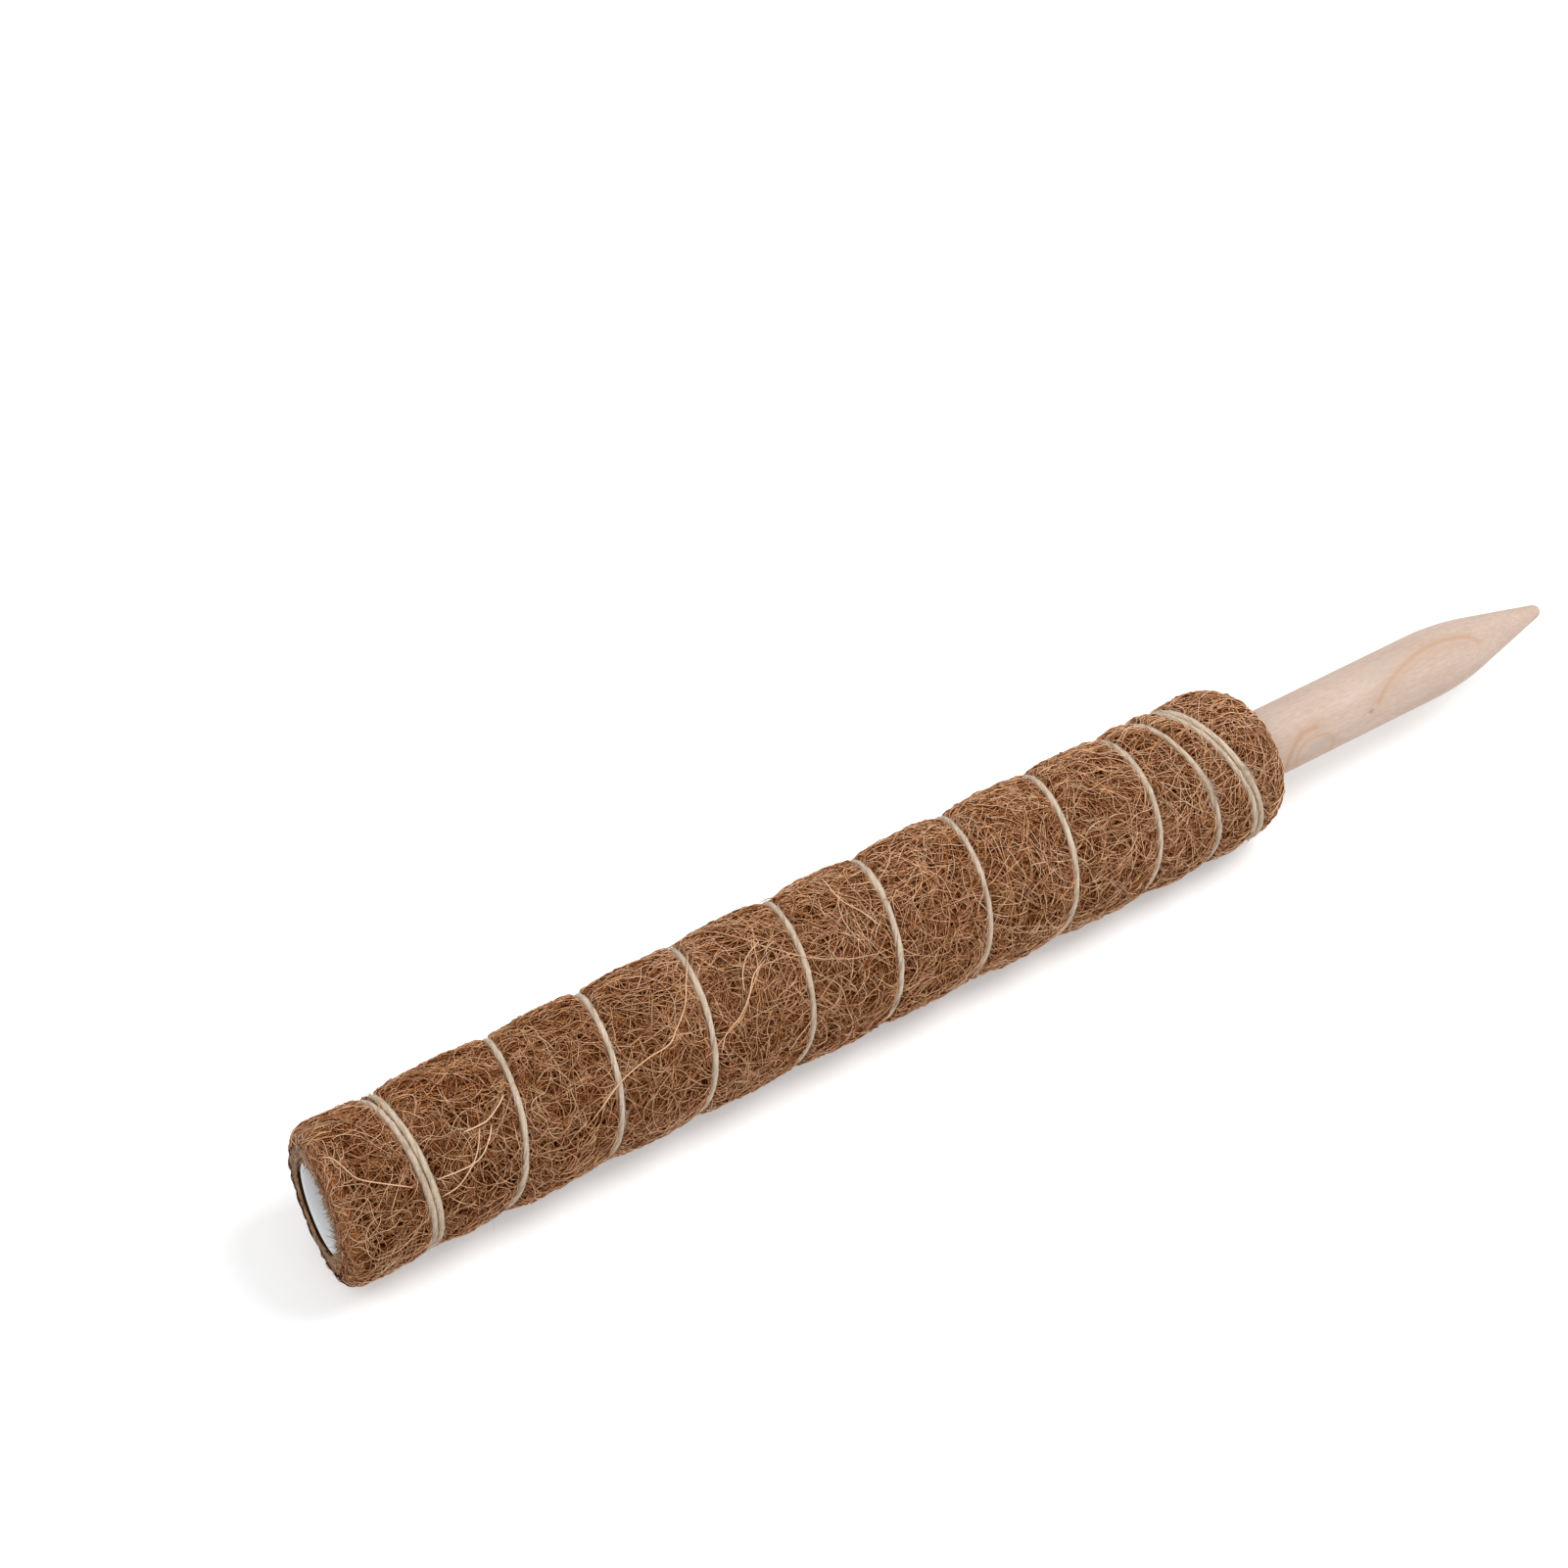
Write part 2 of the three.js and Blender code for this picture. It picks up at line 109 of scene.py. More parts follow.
# Where the pole's axis and open end are in the row frame, in metres
TUBE_LOW, TUBE_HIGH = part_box("core_tube")
AXIS_Y = (TUBE_LOW.y + TUBE_HIGH.y) / 2
AXIS_Z = (TUBE_LOW.z + TUBE_HIGH.z) / 2
OPEN_END_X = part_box("wooden_stake")[1].x - STAKE_END_AT / 1000


def smoothstep(x, low, high):
    t = np.clip((x - low) / (high - low), 0, 1)
    return t * t * (3 - 2 * t)


def to_row(at, radius, angle, lowest=0.0):
    """Points in the row frame, in metres, from pole coordinates in millimetres; none is under the floor."""
    x = OPEN_END_X + at / 1000
    y = AXIS_Y + radius * np.cos(angle) / 1000
    z = np.maximum(AXIS_Z + radius * np.sin(angle) / 1000, lowest / 1000)
    return np.stack([x, y, z], axis=-1)


# The winding and the mat's skin, as in the CAD source
def main_stations():
    share = np.cumsum(TURN_SHARES) / sum(TURN_SHARES)
    return MAIN_FROM_AT + (MAIN_TO_AT - MAIN_FROM_AT) * share


MAIN_TURNS = MAIN_FROM_TURN + 1 + np.arange(len(TURN_SHARES))
STATION_TURNS = [
    0.0, TOP_TIE_TO_TURN, MAIN_FROM_TURN, *MAIN_TURNS, CLOSING_TURN, FOOT_TIE_FROM_TURN, TURNS,
]
STATION_AT = [*TOP_TIE, MAIN_FROM_AT, *main_stations(), CLOSING_AT, *FOOT_TIE]


def crest_radius(at):
    to_foot = np.clip(at / COIR_LENGTH, 0, 1)
    return COIR_BORE_R + MAT_THICK_TOP + (MAT_THICK_FOOT - MAT_THICK_TOP) * to_foot


def saw_shift(radius, angle):
    return -radius * SAW_SLOPE * np.cos(angle - SAW_SIDE)


def sawn(at, radius, angle):
    """Distances from the open end with the saw's slant, which fades out along the pole."""
    return at + saw_shift(radius, angle) * (1 - smoothstep(at, *SAW_BLEND))


def wind_angle(turn):
    return TIE_ANGLE - turn * FULL_TURN


def straight_station(turn):
    at = np.interp(turn, STATION_TURNS, STATION_AT)
    first_pitch = (STATION_AT[1] - STATION_AT[0]) / (STATION_TURNS[1] - STATION_TURNS[0])
    last_pitch = (STATION_AT[-1] - STATION_AT[-2]) / (STATION_TURNS[-1] - STATION_TURNS[-2])
    at = at + np.minimum(turn, 0) * first_pitch
    return at + np.maximum(turn - TURNS, 0) * last_pitch


def wind_station(turn):
    turn = np.asarray(turn, float)
    near = straight_station(turn - PITCH_BLEND) + straight_station(turn + PITCH_BLEND)
    eased = (near + 2 * straight_station(turn)) / 4
    lean = MAIN_LEAN + (FOOT_LEAN - MAIN_LEAN) * smoothstep(turn, *LEAN_TURNS)
    return eased + lean * np.sin(wind_angle(turn) - LEAN_AXIS)


def wind_radius(turn):
    return crest_radius(wind_station(turn)) - TWINE_SINK - TWINE_R


def twine_gap(at, angle):
    """Distance along the pole from a point on the skin to the nearest pass of the twine."""
    first = np.mod((TIE_ANGLE - angle) / FULL_TURN, 1.0)
    gap = np.full(np.shape(at), COIR_LENGTH)
    for turn in range(int(TURNS) + 1):
        passing = first + turn
        here = np.abs(at - wind_station(passing))
        gap = np.where(passing <= TURNS, np.minimum(gap, here), gap)
    return gap


# Samples of the mat's section, and the gaps between its side and its rounded ends
BEND_SAMPLES = 16
SIDE_SAMPLES = 200
SKIN_SAMPLES = 1200
TOP_MARGIN = 1
FOOT_MARGIN = 0.5


def skin_profile():
    """The mat's section without grooves, from the mouth to the stake hole: length, at, radius, normal."""
    bend = np.linspace(0, math.pi / 2, BEND_SAMPLES)
    lip_at = [LIP_BACK_AT, LIP_CHAMFER, 0.0]
    lip_r = [MOUTH_R, MOUTH_R, MOUTH_R + LIP_CHAMFER]
    top_at = TOP_ROUND_AXIAL * (1 - np.cos(bend))
    top_r = crest_radius(0.0) - TOP_ROUND_RADIAL * (1 - np.sin(bend))
    side_to = COIR_LENGTH - FOOT_ROUND_AXIAL - FOOT_MARGIN
    side_at = np.linspace(TOP_ROUND_AXIAL + TOP_MARGIN, side_to, SIDE_SAMPLES)
    foot_at = COIR_LENGTH - FOOT_ROUND_AXIAL * (1 - np.sin(bend))
    foot_r = crest_radius(COIR_LENGTH) - FOOT_ROUND_RADIAL * (1 - np.cos(bend))
    hole_at = [COIR_LENGTH, COIR_LENGTH - LIP_CHAMFER]
    hole_r = [COIR_STAKE_HOLE_R + LIP_CHAMFER, COIR_STAKE_HOLE_R]
    at = np.concatenate([lip_at, top_at, side_at, foot_at, hole_at])
    radius = np.concatenate([lip_r, top_r, crest_radius(side_at), foot_r, hole_r])
    length = np.concatenate([[0], np.cumsum(np.hypot(np.diff(at), np.diff(radius)))])
    even = np.linspace(0, length[-1], SKIN_SAMPLES)
    at = np.interp(even, length, at)
    radius = np.interp(even, length, radius)
    slope_at = np.gradient(at, even)
    slope_r = np.gradient(radius, even)
    size = np.hypot(slope_at, slope_r)
    return even, at, radius, -slope_r / size, slope_at / size


SKIN_LENGTH, SKIN_AT, SKIN_R, SKIN_N_AT, SKIN_N_R = skin_profile()
SKIN_END = SKIN_LENGTH[-1]

# Soft lumps of the skin, each by its wave along the pole, its waves round it and its phase
LUMPS = [(0.31, 2, 0.4), (0.17, 3, 1.9), (0.43, 5, 4.1), (0.23, 4, 2.7), (0.61, 7, 0.9)]
LUMP_HEIGHT = 0.05
OUTER_FACE = (0.1, 0.6)


def skin_point(along, angle, lift):
    """at and radius of a point at a height over the mat's skin, with the twine's grooves and soft lumps."""
    at = np.interp(along, SKIN_LENGTH, SKIN_AT)
    radius = np.interp(along, SKIN_LENGTH, SKIN_R)
    normal_at = np.interp(along, SKIN_LENGTH, SKIN_N_AT)
    normal_r = np.interp(along, SKIN_LENGTH, SKIN_N_R)
    shifted = sawn(at, radius, angle)
    gap = twine_gap(shifted, angle)
    dip = VALLEY_DEPTH * np.exp(-((gap / VALLEY_REACH) ** VALLEY_SHAPE))
    dip = dip + (GROOVE_DEPTH - VALLEY_DEPTH) * np.exp(-((gap / NOTCH_REACH) ** NOTCH_SHAPE))
    outer = smoothstep(normal_r, *OUTER_FACE)
    lumps = sum(np.sin(wave * at + turns * angle + phase) for wave, turns, phase in LUMPS)
    lift = lift + LUMP_HEIGHT * lumps * outer
    return shifted + normal_at * lift, radius - dip * outer + normal_r * lift


# Meshes
TINY = 1e-12
NUDGE = 1e-5 * np.array([0.3, 0.5, 0.8])
# Where the painted flank shade turns into the painted highlight, round a fibre
FLANK_SHADE_MIDDLE = 0.4
CELL_MARGIN = 0.1
CORNERS = [(0, 0), (1, 0), (1, 1), (0, 1)]


def ring_quads(a, b):
    """Quads between rings of points that run round along the last axis."""
    quads = np.stack([a, b, np.roll(b, -1, axis=-1), np.roll(a, -1, axis=-1)], axis=-1)
    return quads.reshape(-1, 4)


def quads_mesh(name, points, quads):
    """A mesh of quads from numpy arrays."""
    points = points.reshape(-1, 3)
    mesh = bpy.data.meshes.new(name)
    mesh.vertices.add(len(points))
    mesh.vertices.foreach_set("co", points.astype(np.float32).ravel())
    mesh.loops.add(quads.size)
    mesh.loops.foreach_set("vertex_index", quads.astype(np.int32).ravel())
    mesh.polygons.add(len(quads))
    mesh.polygons.foreach_set("loop_start", np.arange(0, quads.size, 4, dtype=np.int32))
    mesh.polygons.foreach_set("use_smooth", np.ones(len(quads), bool))
    mesh.update(calc_edges=True)
    return mesh


def write_tones(mesh, tones):
    """A tone for each point of a mesh, which its material reads."""
    tone = mesh.attributes.new("tone", "FLOAT", "POINT")
    tone.data.foreach_set("value", tones.astype(np.float32).ravel())


def placed(name, data):
    """A new object in the scene."""
    thing = bpy.data.objects.new(name, data)
    bpy.context.scene.collection.objects.link(thing)
    return thing


def shown(name, mesh, body, material):
    """A piece of the visual that rides on a body."""
    piece = placed(name, mesh)
    piece.data.materials.append(material)
    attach(piece, body)
    return piece


def strands(name, paths, widths, tones, material, sides=3, flank_shade=0.0):
    """Many fibres as one piece: paths is fibres by points by 3, in metres, widths the same without the 3.

    Flank shade is painted shade on a fibre's flanks, with a painted highlight on its back: how much darker
    its flanks are than its back.
    """
    count, points = widths.shape
    tangent = np.gradient(paths, axis=1)
    tangent /= np.linalg.norm(tangent, axis=2, keepdims=True) + TINY
    outward = paths - np.array([0, AXIS_Y, AXIS_Z])
    outward[..., 0] = 0
    outward += NUDGE
    normal = outward - np.sum(outward * tangent, axis=2, keepdims=True) * tangent
    normal /= np.linalg.norm(normal, axis=2, keepdims=True) + TINY
    side = np.cross(tangent, normal)
    turn = np.arange(sides) * FULL_TURN / sides
    half = widths[:, :, None, None] / 2
    ring = normal[:, :, None] * np.cos(turn)[:, None] + side[:, :, None] * np.sin(turn)[:, None]
    co = paths[:, :, None] + half * ring
    co[..., 2] = np.maximum(co[..., 2], 0)
    number = np.arange(count * points * sides).reshape(count, points, sides)
    mesh = quads_mesh(name, co, ring_quads(number[:, :-1], number[:, 1:]))
    # Painted shade on each fibre's flanks and a painted highlight on its back
    write_tones(mesh, tones[:, :, None] + flank_shade * (np.cos(turn) - FLANK_SHADE_MIDDLE))
    add_strand_uv(mesh, count, points, sides)
    return shown(name, mesh, "pole", material)


def add_strand_uv(mesh, count, points, sides):
    """Each fibre has a small cell of the map, along and round it, so that its colour can be baked."""
    grid = math.ceil(math.sqrt(count))
    cell = np.arange(count)
    left = (cell % grid)[:, None, None]
    low = (cell // grid)[:, None, None]
    along = (np.arange(points - 1) / (points - 1))[None, :, None]
    round_it = (np.arange(sides) / sides)[None, None, :]
    step_u = 1 / (points - 1)
    step_v = 1 / sides
    inner = 1 - 2 * CELL_MARGIN
    uv = np.zeros((count, points - 1, sides, len(CORNERS), 2))
    for k, (du, dv) in enumerate(CORNERS):
        uv[..., k, 0] = (left + CELL_MARGIN + inner * (along + du * step_u)) / grid
        uv[..., k, 1] = (low + CELL_MARGIN + inner * (round_it + dv * step_v)) / grid
    layer = mesh.uv_layers.new(name="OFBake")
    layer.data.foreach_set("uv", uv.astype(np.float32).ravel())


# Fibre paths on the mat
FIBRES_FROM = 3.4
FRINGE_FROM = 1.3
FRINGE_SIDE = math.radians(150)
FRINGE_BLEND = (0.1, 0.6)
FIBRE_CLEARANCE = 0.45
FIBRE_OFF_FLOOR = 0.16
BY_STAKE = (COIR_LENGTH - 6, COIR_LENGTH - 4)
WALK_WAVES = (3, 11)
WEAVE_WAVES = (0.25, 0.8)
WEAVE_SHARES = (0.65, 0.35)
WEAVE_FASTER = 1.9
TIP_WIDTH = 0.35


def fibres_from(angle):
    """Where the loose fibres begin on the skin: nearer the mouth on the side that the saw pressed down."""
    pressed = smoothstep(np.cos(angle - FRINGE_SIDE), *FRINGE_BLEND)
    return FIBRES_FROM - (FIBRES_FROM - FRINGE_FROM) * pressed


def walk(steps, step, along, angle, heading, curl, wander):
    """Curly walks on the unrolled skin: lengths along it and angles about the axis, fibres by points."""
    count = len(along)
    phase = rng.uniform(0, FULL_TURN, (2, count))
    wave = FULL_TURN / rng.uniform(*WALK_WAVES, (2, count))
    swing = rng.uniform(-1, 1, (2, count)) * wander
    walked_along = [along]
    walked_angle = [angle]
    for k in range(steps):
        far = k * step
        bends = swing * np.sin(wave * far + phase)
        heading = heading + (curl + bends[0] + bends[1]) * step
        along = along + np.cos(heading) * step
        least = fibres_from(angle)
        turned = (along < least) | (along > SKIN_END)
        along = np.clip(along, least, SKIN_END)
        heading = np.where(turned, math.pi - heading, heading)
        radius = np.interp(along, SKIN_LENGTH, SKIN_R)
        angle = angle + np.sin(heading) * step / radius
        walked_along.append(along)
        walked_angle.append(angle)
    return np.stack(walked_along, axis=1), np.stack(walked_angle, axis=1)


def weave(points, middle, depth):
    """Heights of fibres that dive into the mat and come up again."""
    count = len(middle)
    k = np.arange(points)[None, :]
    phase = rng.uniform(0, FULL_TURN, (2, count, 1))
    wave = rng.uniform(*WEAVE_WAVES, (2, count, 1))
    slow = np.sin(wave[0] * k + phase[0])
    fast = np.sin(WEAVE_FASTER * wave[1] * k + phase[1])
    swing = WEAVE_SHARES[0] * slow + WEAVE_SHARES[1] * fast
    return middle[:, None] + depth[:, None] * swing


def tapered(width, points, ends=0.08):
    """Widths along fibres that thin out over a share of their length at both ends."""
    k = np.linspace(0, 1, points)[None, :]
    fullness = np.minimum(smoothstep(k, 0, ends), smoothstep(1 - k, 0, ends))
    return width[:, None] * (TIP_WIDTH + (1 - TIP_WIDTH) * fullness)


def fibre_points(along, angle, lift):
    """Points on the mat that stay clear of the stake and the floor."""
    at, radius = skin_point(along, angle, lift)
    radius = np.maximum(radius, smoothstep(at, *BY_STAKE) * (STAKE_R + FIBRE_CLEARANCE))
    return to_row(at, radius, angle, lowest=FIBRE_OFF_FLOOR)


# Materials
def node_material(name):
    material = bpy.data.materials.new(name)
    material.use_nodes = True
    tree = material.node_tree
    shader = tree.nodes["Principled BSDF"]
    return material, tree, shader


def ramp(tree, stops, source):
    node = tree.nodes.new("ShaderNodeValToRGB")
    elements = node.color_ramp.elements
    while len(elements) < len(stops):
        elements.new(0.5)
    for element, (place, colour) in zip(elements, stops):
        element.position = place
        element.color = (*colour, 1)
    tree.links.new(source, node.inputs["Fac"])
    return node.outputs["Color"]


def noise(tree, vector, scale, detail):
    node = tree.nodes.new("ShaderNodeTexNoise")
    node.inputs["Scale"].default_value = scale
    node.inputs["Detail"].default_value = detail
    tree.links.new(vector, node.inputs["Vector"])
    return node.outputs["Fac"]


def math_node(tree, operation, *values):
    node = tree.nodes.new("ShaderNodeMath")
    node.operation = operation
    for socket, value in zip(node.inputs, values):
        if isinstance(value, (int, float)):
            socket.default_value = value
        else:
            tree.links.new(value, socket)
    return node.outputs["Value"]


def swung(tree, base, fac, amount):
    """base plus a noise factor about zero, times amount."""
    about_zero = math_node(tree, "SUBTRACT", fac, 0.5)
    return math_node(tree, "ADD", base, math_node(tree, "MULTIPLY", about_zero, amount))


def object_coordinates(tree):
    return tree.nodes.new("ShaderNodeTexCoord").outputs["Object"]


def stretched(tree, vector, scale):
    node = tree.nodes.new("ShaderNodeMapping")
    node.inputs["Scale"].default_value = scale
    tree.links.new(vector, node.inputs["Vector"])
    return node.outputs["Vector"]


def bumped(tree, shader, height, strength, distance):
    bump = tree.nodes.new("ShaderNodeBump")
    bump.inputs["Strength"].default_value = strength
    bump.inputs["Distance"].default_value = distance
    tree.links.new(height, bump.inputs["Height"])
    tree.links.new(bump.outputs["Normal"], shader.inputs["Normal"])


def finished(shader, roughness, specular):
    """How a surface shines."""
    shader.inputs["Roughness"].default_value = roughness
    shader.inputs["Specular IOR Level"].default_value = specular


def tone_of(tree):
    node = tree.nodes.new("ShaderNodeAttribute")
    node.attribute_name = "tone"
    return node.outputs["Fac"]


def fibre_material(name, stops, roughness, specular):
    """Fibres: each has a tone of its own, which drifts a little along it, and which also carries painted
    shade and painted highlights.
    """
    material, tree, shader = node_material(name)
    drift = noise(tree, object_coordinates(tree), scale=260.0, detail=2.0)
    tone = swung(tree, tone_of(tree), drift, amount=0.2)
    tree.links.new(ramp(tree, stops, tone), shader.inputs["Base Color"])
    finished(shader, roughness, specular)
    return material


# Coir colours by tone: the dark end shows painted shade on deep fibres and fibre flanks, the pale end truly
# pale fibres and painted highlights on fibre backs
COIR_STOPS = [
    (0.0, (0.036, 0.004, 0.0002)),
    (0.25, (0.155, 0.030, 0.002)),
    (0.5, (0.42, 0.138, 0.036)),
    (0.75, (0.69, 0.325, 0.135)),
    (1.0, (0.94, 0.655, 0.435)),
]
RIM_STOPS = [
    (0.0, (0.073, 0.039, 0.022)),
    (0.5, (0.38, 0.22, 0.125)),
    (1.0, (0.74, 0.53, 0.37)),
]
JUTE_STOPS = [
    (0.0, (0.32, 0.235, 0.16)),
    (0.45, (0.71, 0.56, 0.42)),
    (1.0, (0.93, 0.81, 0.66)),
]
# Colours of the mat: dark, as painted shade in the depths under the loose fibres
MAT_SHADE_STOPS = [
    (0.12, (0.017, 0.004, 0.0006)),
    (0.3, (0.055, 0.016, 0.004)),
    (0.5, (0.13, 0.045, 0.014)),
]
coir_material = fibre_material("coir_fibre", COIR_STOPS, roughness=0.45, specular=0.12)
deep_material = fibre_material("coir_deep_fibre", COIR_STOPS, roughness=0.7, specular=0.02)
rim_material = fibre_material("coir_cut_ends", RIM_STOPS, roughness=0.7, specular=0.25)


def shaded_mat_material():
    """The mat under the loose fibres, painted dark as the shade in the depths between them, with matted
    fibres drawn by stretched noise.
    """
    material, tree, shader = node_material("coir_mat")
    where = object_coordinates(tree)
    fine = noise(tree, where, scale=900.0, detail=4.0)
    long_way = noise(tree, stretched(tree, where, (0.35, 1.0, 1.0)), scale=420.0, detail=5.0)
    both = math_node(tree, "MULTIPLY", fine, long_way)
    tree.links.new(ramp(tree, MAT_SHADE_STOPS, both), shader.inputs["Base Color"])
    bumped(tree, shader, both, strength=0.8, distance=0.0006)
    finished(shader, roughness=0.95, specular=0.0)
    return material


# The mat that the loose fibres lie on
MAT_BELOW_SKIN = 1.35
MAT_AROUND = 160
MAT_RINGS = 420
HOLE_RINGS = 3
BORE_RINGS = 12
HOLE_STEP = 0.4

# The mat lies less deep under its skin by the mouth and the stake's hole
DEPTH_BY_MOUTH = 0.2
TOP_DEEPENS = (4.0, 9.0)
MOUTH_DEEPENS = (0.8, 1.6)
HOLE_DEEPENS = (1.0, 3.5)


def coir_mat():
    angle = np.arange(MAT_AROUND) * FULL_TURN / MAT_AROUND
    along = np.linspace(0, SKIN_END, MAT_RINGS)
    grid_along, grid_angle = np.meshgrid(along, angle, indexing="ij")
    depth = DEPTH_BY_MOUTH + (1 - DEPTH_BY_MOUTH) * smoothstep(grid_along, *TOP_DEEPENS)
    depth = depth * smoothstep(grid_along, *MOUTH_DEEPENS)
    depth = depth * smoothstep(SKIN_END - grid_along, *HOLE_DEEPENS)
    at, radius = skin_point(grid_along, grid_angle, -MAT_BELOW_SKIN * depth)
    hole_at = np.linspace(COIR_LENGTH - 2 * LIP_CHAMFER, TUBE_FOOT_AT + HOLE_STEP, HOLE_RINGS)
    bore_at = np.linspace(TUBE_FOOT_AT, LIP_BACK_AT, BORE_RINGS)
    inner_at = np.concatenate([hole_at, bore_at])
    inner_r = np.concatenate([np.full(HOLE_RINGS, COIR_STAKE_HOLE_R), np.full(BORE_RINGS, COIR_BORE_R)])
    inner_at, inner_angle = np.meshgrid(inner_at, angle, indexing="ij")
    inner_r = inner_r[:, None] + 0 * inner_angle
    inner_at = sawn(inner_at, inner_r, inner_angle)
    points = np.concatenate([to_row(at, radius, grid_angle), to_row(inner_at, inner_r, inner_angle)])
    rings = len(points)
    number = np.arange(rings * MAT_AROUND).reshape(rings, MAT_AROUND)
    mesh = quads_mesh("coir_mat", points, ring_quads(number, np.roll(number, -1, axis=0)))
    piece = shown("coir_mat", mesh, "pole", shaded_mat_material())
    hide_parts("coir_sleeve")


coir_mat()

# Loose fibres of the mat in layers, from the deep ones, painted dark as shade, up to the pale ones on top
LAYER_COUNT = 20
LAYER_HEIGHTS = (-0.95, 0.1)
# Painted shade: the tones fall from the top layers down to the deep ones
LAYER_TONES_WITH_SHADE = (-0.08, 0.53)
LAYER_SHADE_SHAPE = 1.3
LAYER_SPREAD = 0.12
DEEP_SHARE = 0.6
# Painted light: the loose fibres get paler toward the foot
PAINTED_LIGHT_TO_FOOT = 0.05
STRAIGHTER_FOOT = 0.6
THICKER_FOOT = 0.2
# Painted shade on the flanks of the loose fibres, with a painted highlight on their backs
FLANK_SHADE = 0.8
TONE_SPREAD = 0.18
FIBRE_ROWS = 60
FIBRES_PER_ROW = 20
FIBRE_STEPS = 27
FIBRE_STEP = (0.5, 0.95)
FIBRE_CURL = (0.02, 0.22)
FIBRE_WANDER = (0.1, 0.75)
FIBRE_WIDTH = (0.18, 0.29)
FIBRE_DIVE = (0.1, 0.4)
FIBRE_HEIGHTS = (-1.4, 0.4)
LEAST_TONE = 0.02
# Painted shade: how much darker a fibre gets where it dives deeper, per millimetre
DEPTH_SHADE = 0.5


def fibre_layer(layer):
    count = FIBRE_ROWS * FIBRES_PER_ROW
    share = layer / (LAYER_COUNT - 1)
    row = np.repeat(np.arange(FIBRE_ROWS), FIBRES_PER_ROW) + rng.uniform(0, 1, count)
    column = np.tile(np.arange(FIBRES_PER_ROW), FIBRE_ROWS) + rng.uniform(0, 1, count)
    angle = FULL_TURN * column / FIBRES_PER_ROW
    along = fibres_from(angle) + (SKIN_END - fibres_from(angle)) * row / FIBRE_ROWS
    heading = rng.uniform(0, FULL_TURN, count)
    step = rng.uniform(*FIBRE_STEP, count)
    to_foot = along / SKIN_END
    bendy = 1 - STRAIGHTER_FOOT * to_foot
    curl = rng.choice([-1, 1], count) * rng.uniform(*FIBRE_CURL, count) * bendy
    wander = rng.uniform(*FIBRE_WANDER, count) * bendy
    width = rng.uniform(*FIBRE_WIDTH, count) * (1 + THICKER_FOOT * to_foot) / 1000
    along, angle = walk(FIBRE_STEPS, step, along, angle, heading, curl, wander)
    height = np.interp(share, (0, 1), LAYER_HEIGHTS) + rng.uniform(-LAYER_SPREAD, LAYER_SPREAD, count)
    lift = weave(FIBRE_STEPS + 1, height, rng.uniform(*FIBRE_DIVE, count))
    lift = np.clip(lift, *FIBRE_HEIGHTS)
    tone = rng.normal(np.interp(share**LAYER_SHADE_SHAPE, (0, 1), LAYER_TONES_WITH_SHADE), TONE_SPREAD, count)
    # Painted shade: each fibre is darker where it dives deeper into the mat
    tones = np.clip(tone, LEAST_TONE, 1)[:, None] + DEPTH_SHADE * (lift - height[:, None])
    # Painted light, paler toward the foot
    tones = tones + PAINTED_LIGHT_TO_FOOT * along / SKIN_END
    paths = fibre_points(along, angle, lift)
    name = f"coir_fibres_{layer + 1}"
    material = deep_material if share < DEEP_SHARE else coir_material
    strands(name, paths, tapered(width, FIBRE_STEPS + 1), tones, material, flank_shade=FLANK_SHADE)


for layer in range(LAYER_COUNT):
    fibre_layer(layer)


# Fibres that lie over the mat and the twine
OVER_TWINE = 0.25
TWINE_FROM_AT = 12
TWINE_TO_AT = COIR_LENGTH - 9
OVER_OFF_FLOOR = 0.2


def over_everything(along, angle, lift):
    """Points on the mat that stay above the twine too."""
    at, radius = skin_point(along, angle, lift)
    over_twine = crest_radius(at) - TWINE_SINK + OVER_TWINE
    on_side = (at > TWINE_FROM_AT) & (at < TWINE_TO_AT)
    radius = np.where(on_side, np.maximum(radius, over_twine), radius)
    return to_row(at, radius, angle, lowest=OVER_OFF_FLOOR)


# Long pale fibres on the back
LONG_COUNT = 26
LONG_STEPS = 44
LONG_STEP = (0.6, 1.5)
LONG_START = (6, SKIN_END - 10)
LONG_ANGLES = (240, 390)
LONG_CURL = 0.07
LONG_WANDER = (0.05, 0.2)
LONG_HEIGHT = (0.1, 0.25)
LONG_DIVE = (0.05, 0.2)
LONG_WIDTH = (0.18, 0.28)
LONG_TONE = 0.76
LONG_TONE_SPREAD = 0.08
LONG_LEAST_TONE = 0.55


def long_fibres():
    along = rng.uniform(*LONG_START, LONG_COUNT)
    angle = np.radians(rng.uniform(*LONG_ANGLES, LONG_COUNT))
    heading = rng.uniform(0, FULL_TURN, LONG_COUNT)
    step = rng.uniform(*LONG_STEP, LONG_COUNT)
    curl = rng.normal(0, LONG_CURL, LONG_COUNT)
    wander = rng.uniform(*LONG_WANDER, LONG_COUNT)
    along, angle = walk(LONG_STEPS, step, along, angle, heading, curl, wander)
    height = rng.uniform(*LONG_HEIGHT, LONG_COUNT)
    lift = weave(LONG_STEPS + 1, height, rng.uniform(*LONG_DIVE, LONG_COUNT))
    paths = over_everything(along, angle, lift)
    width = tapered(rng.uniform(*LONG_WIDTH, LONG_COUNT) / 1000, LONG_STEPS + 1)
    tone = np.clip(rng.normal(LONG_TONE, LONG_TONE_SPREAD, LONG_COUNT), LONG_LEAST_TONE, 1)
    strands("coir_long_fibres", paths, width, tone[:, None] + 0 * lift, coir_material, sides=4)


long_fibres()


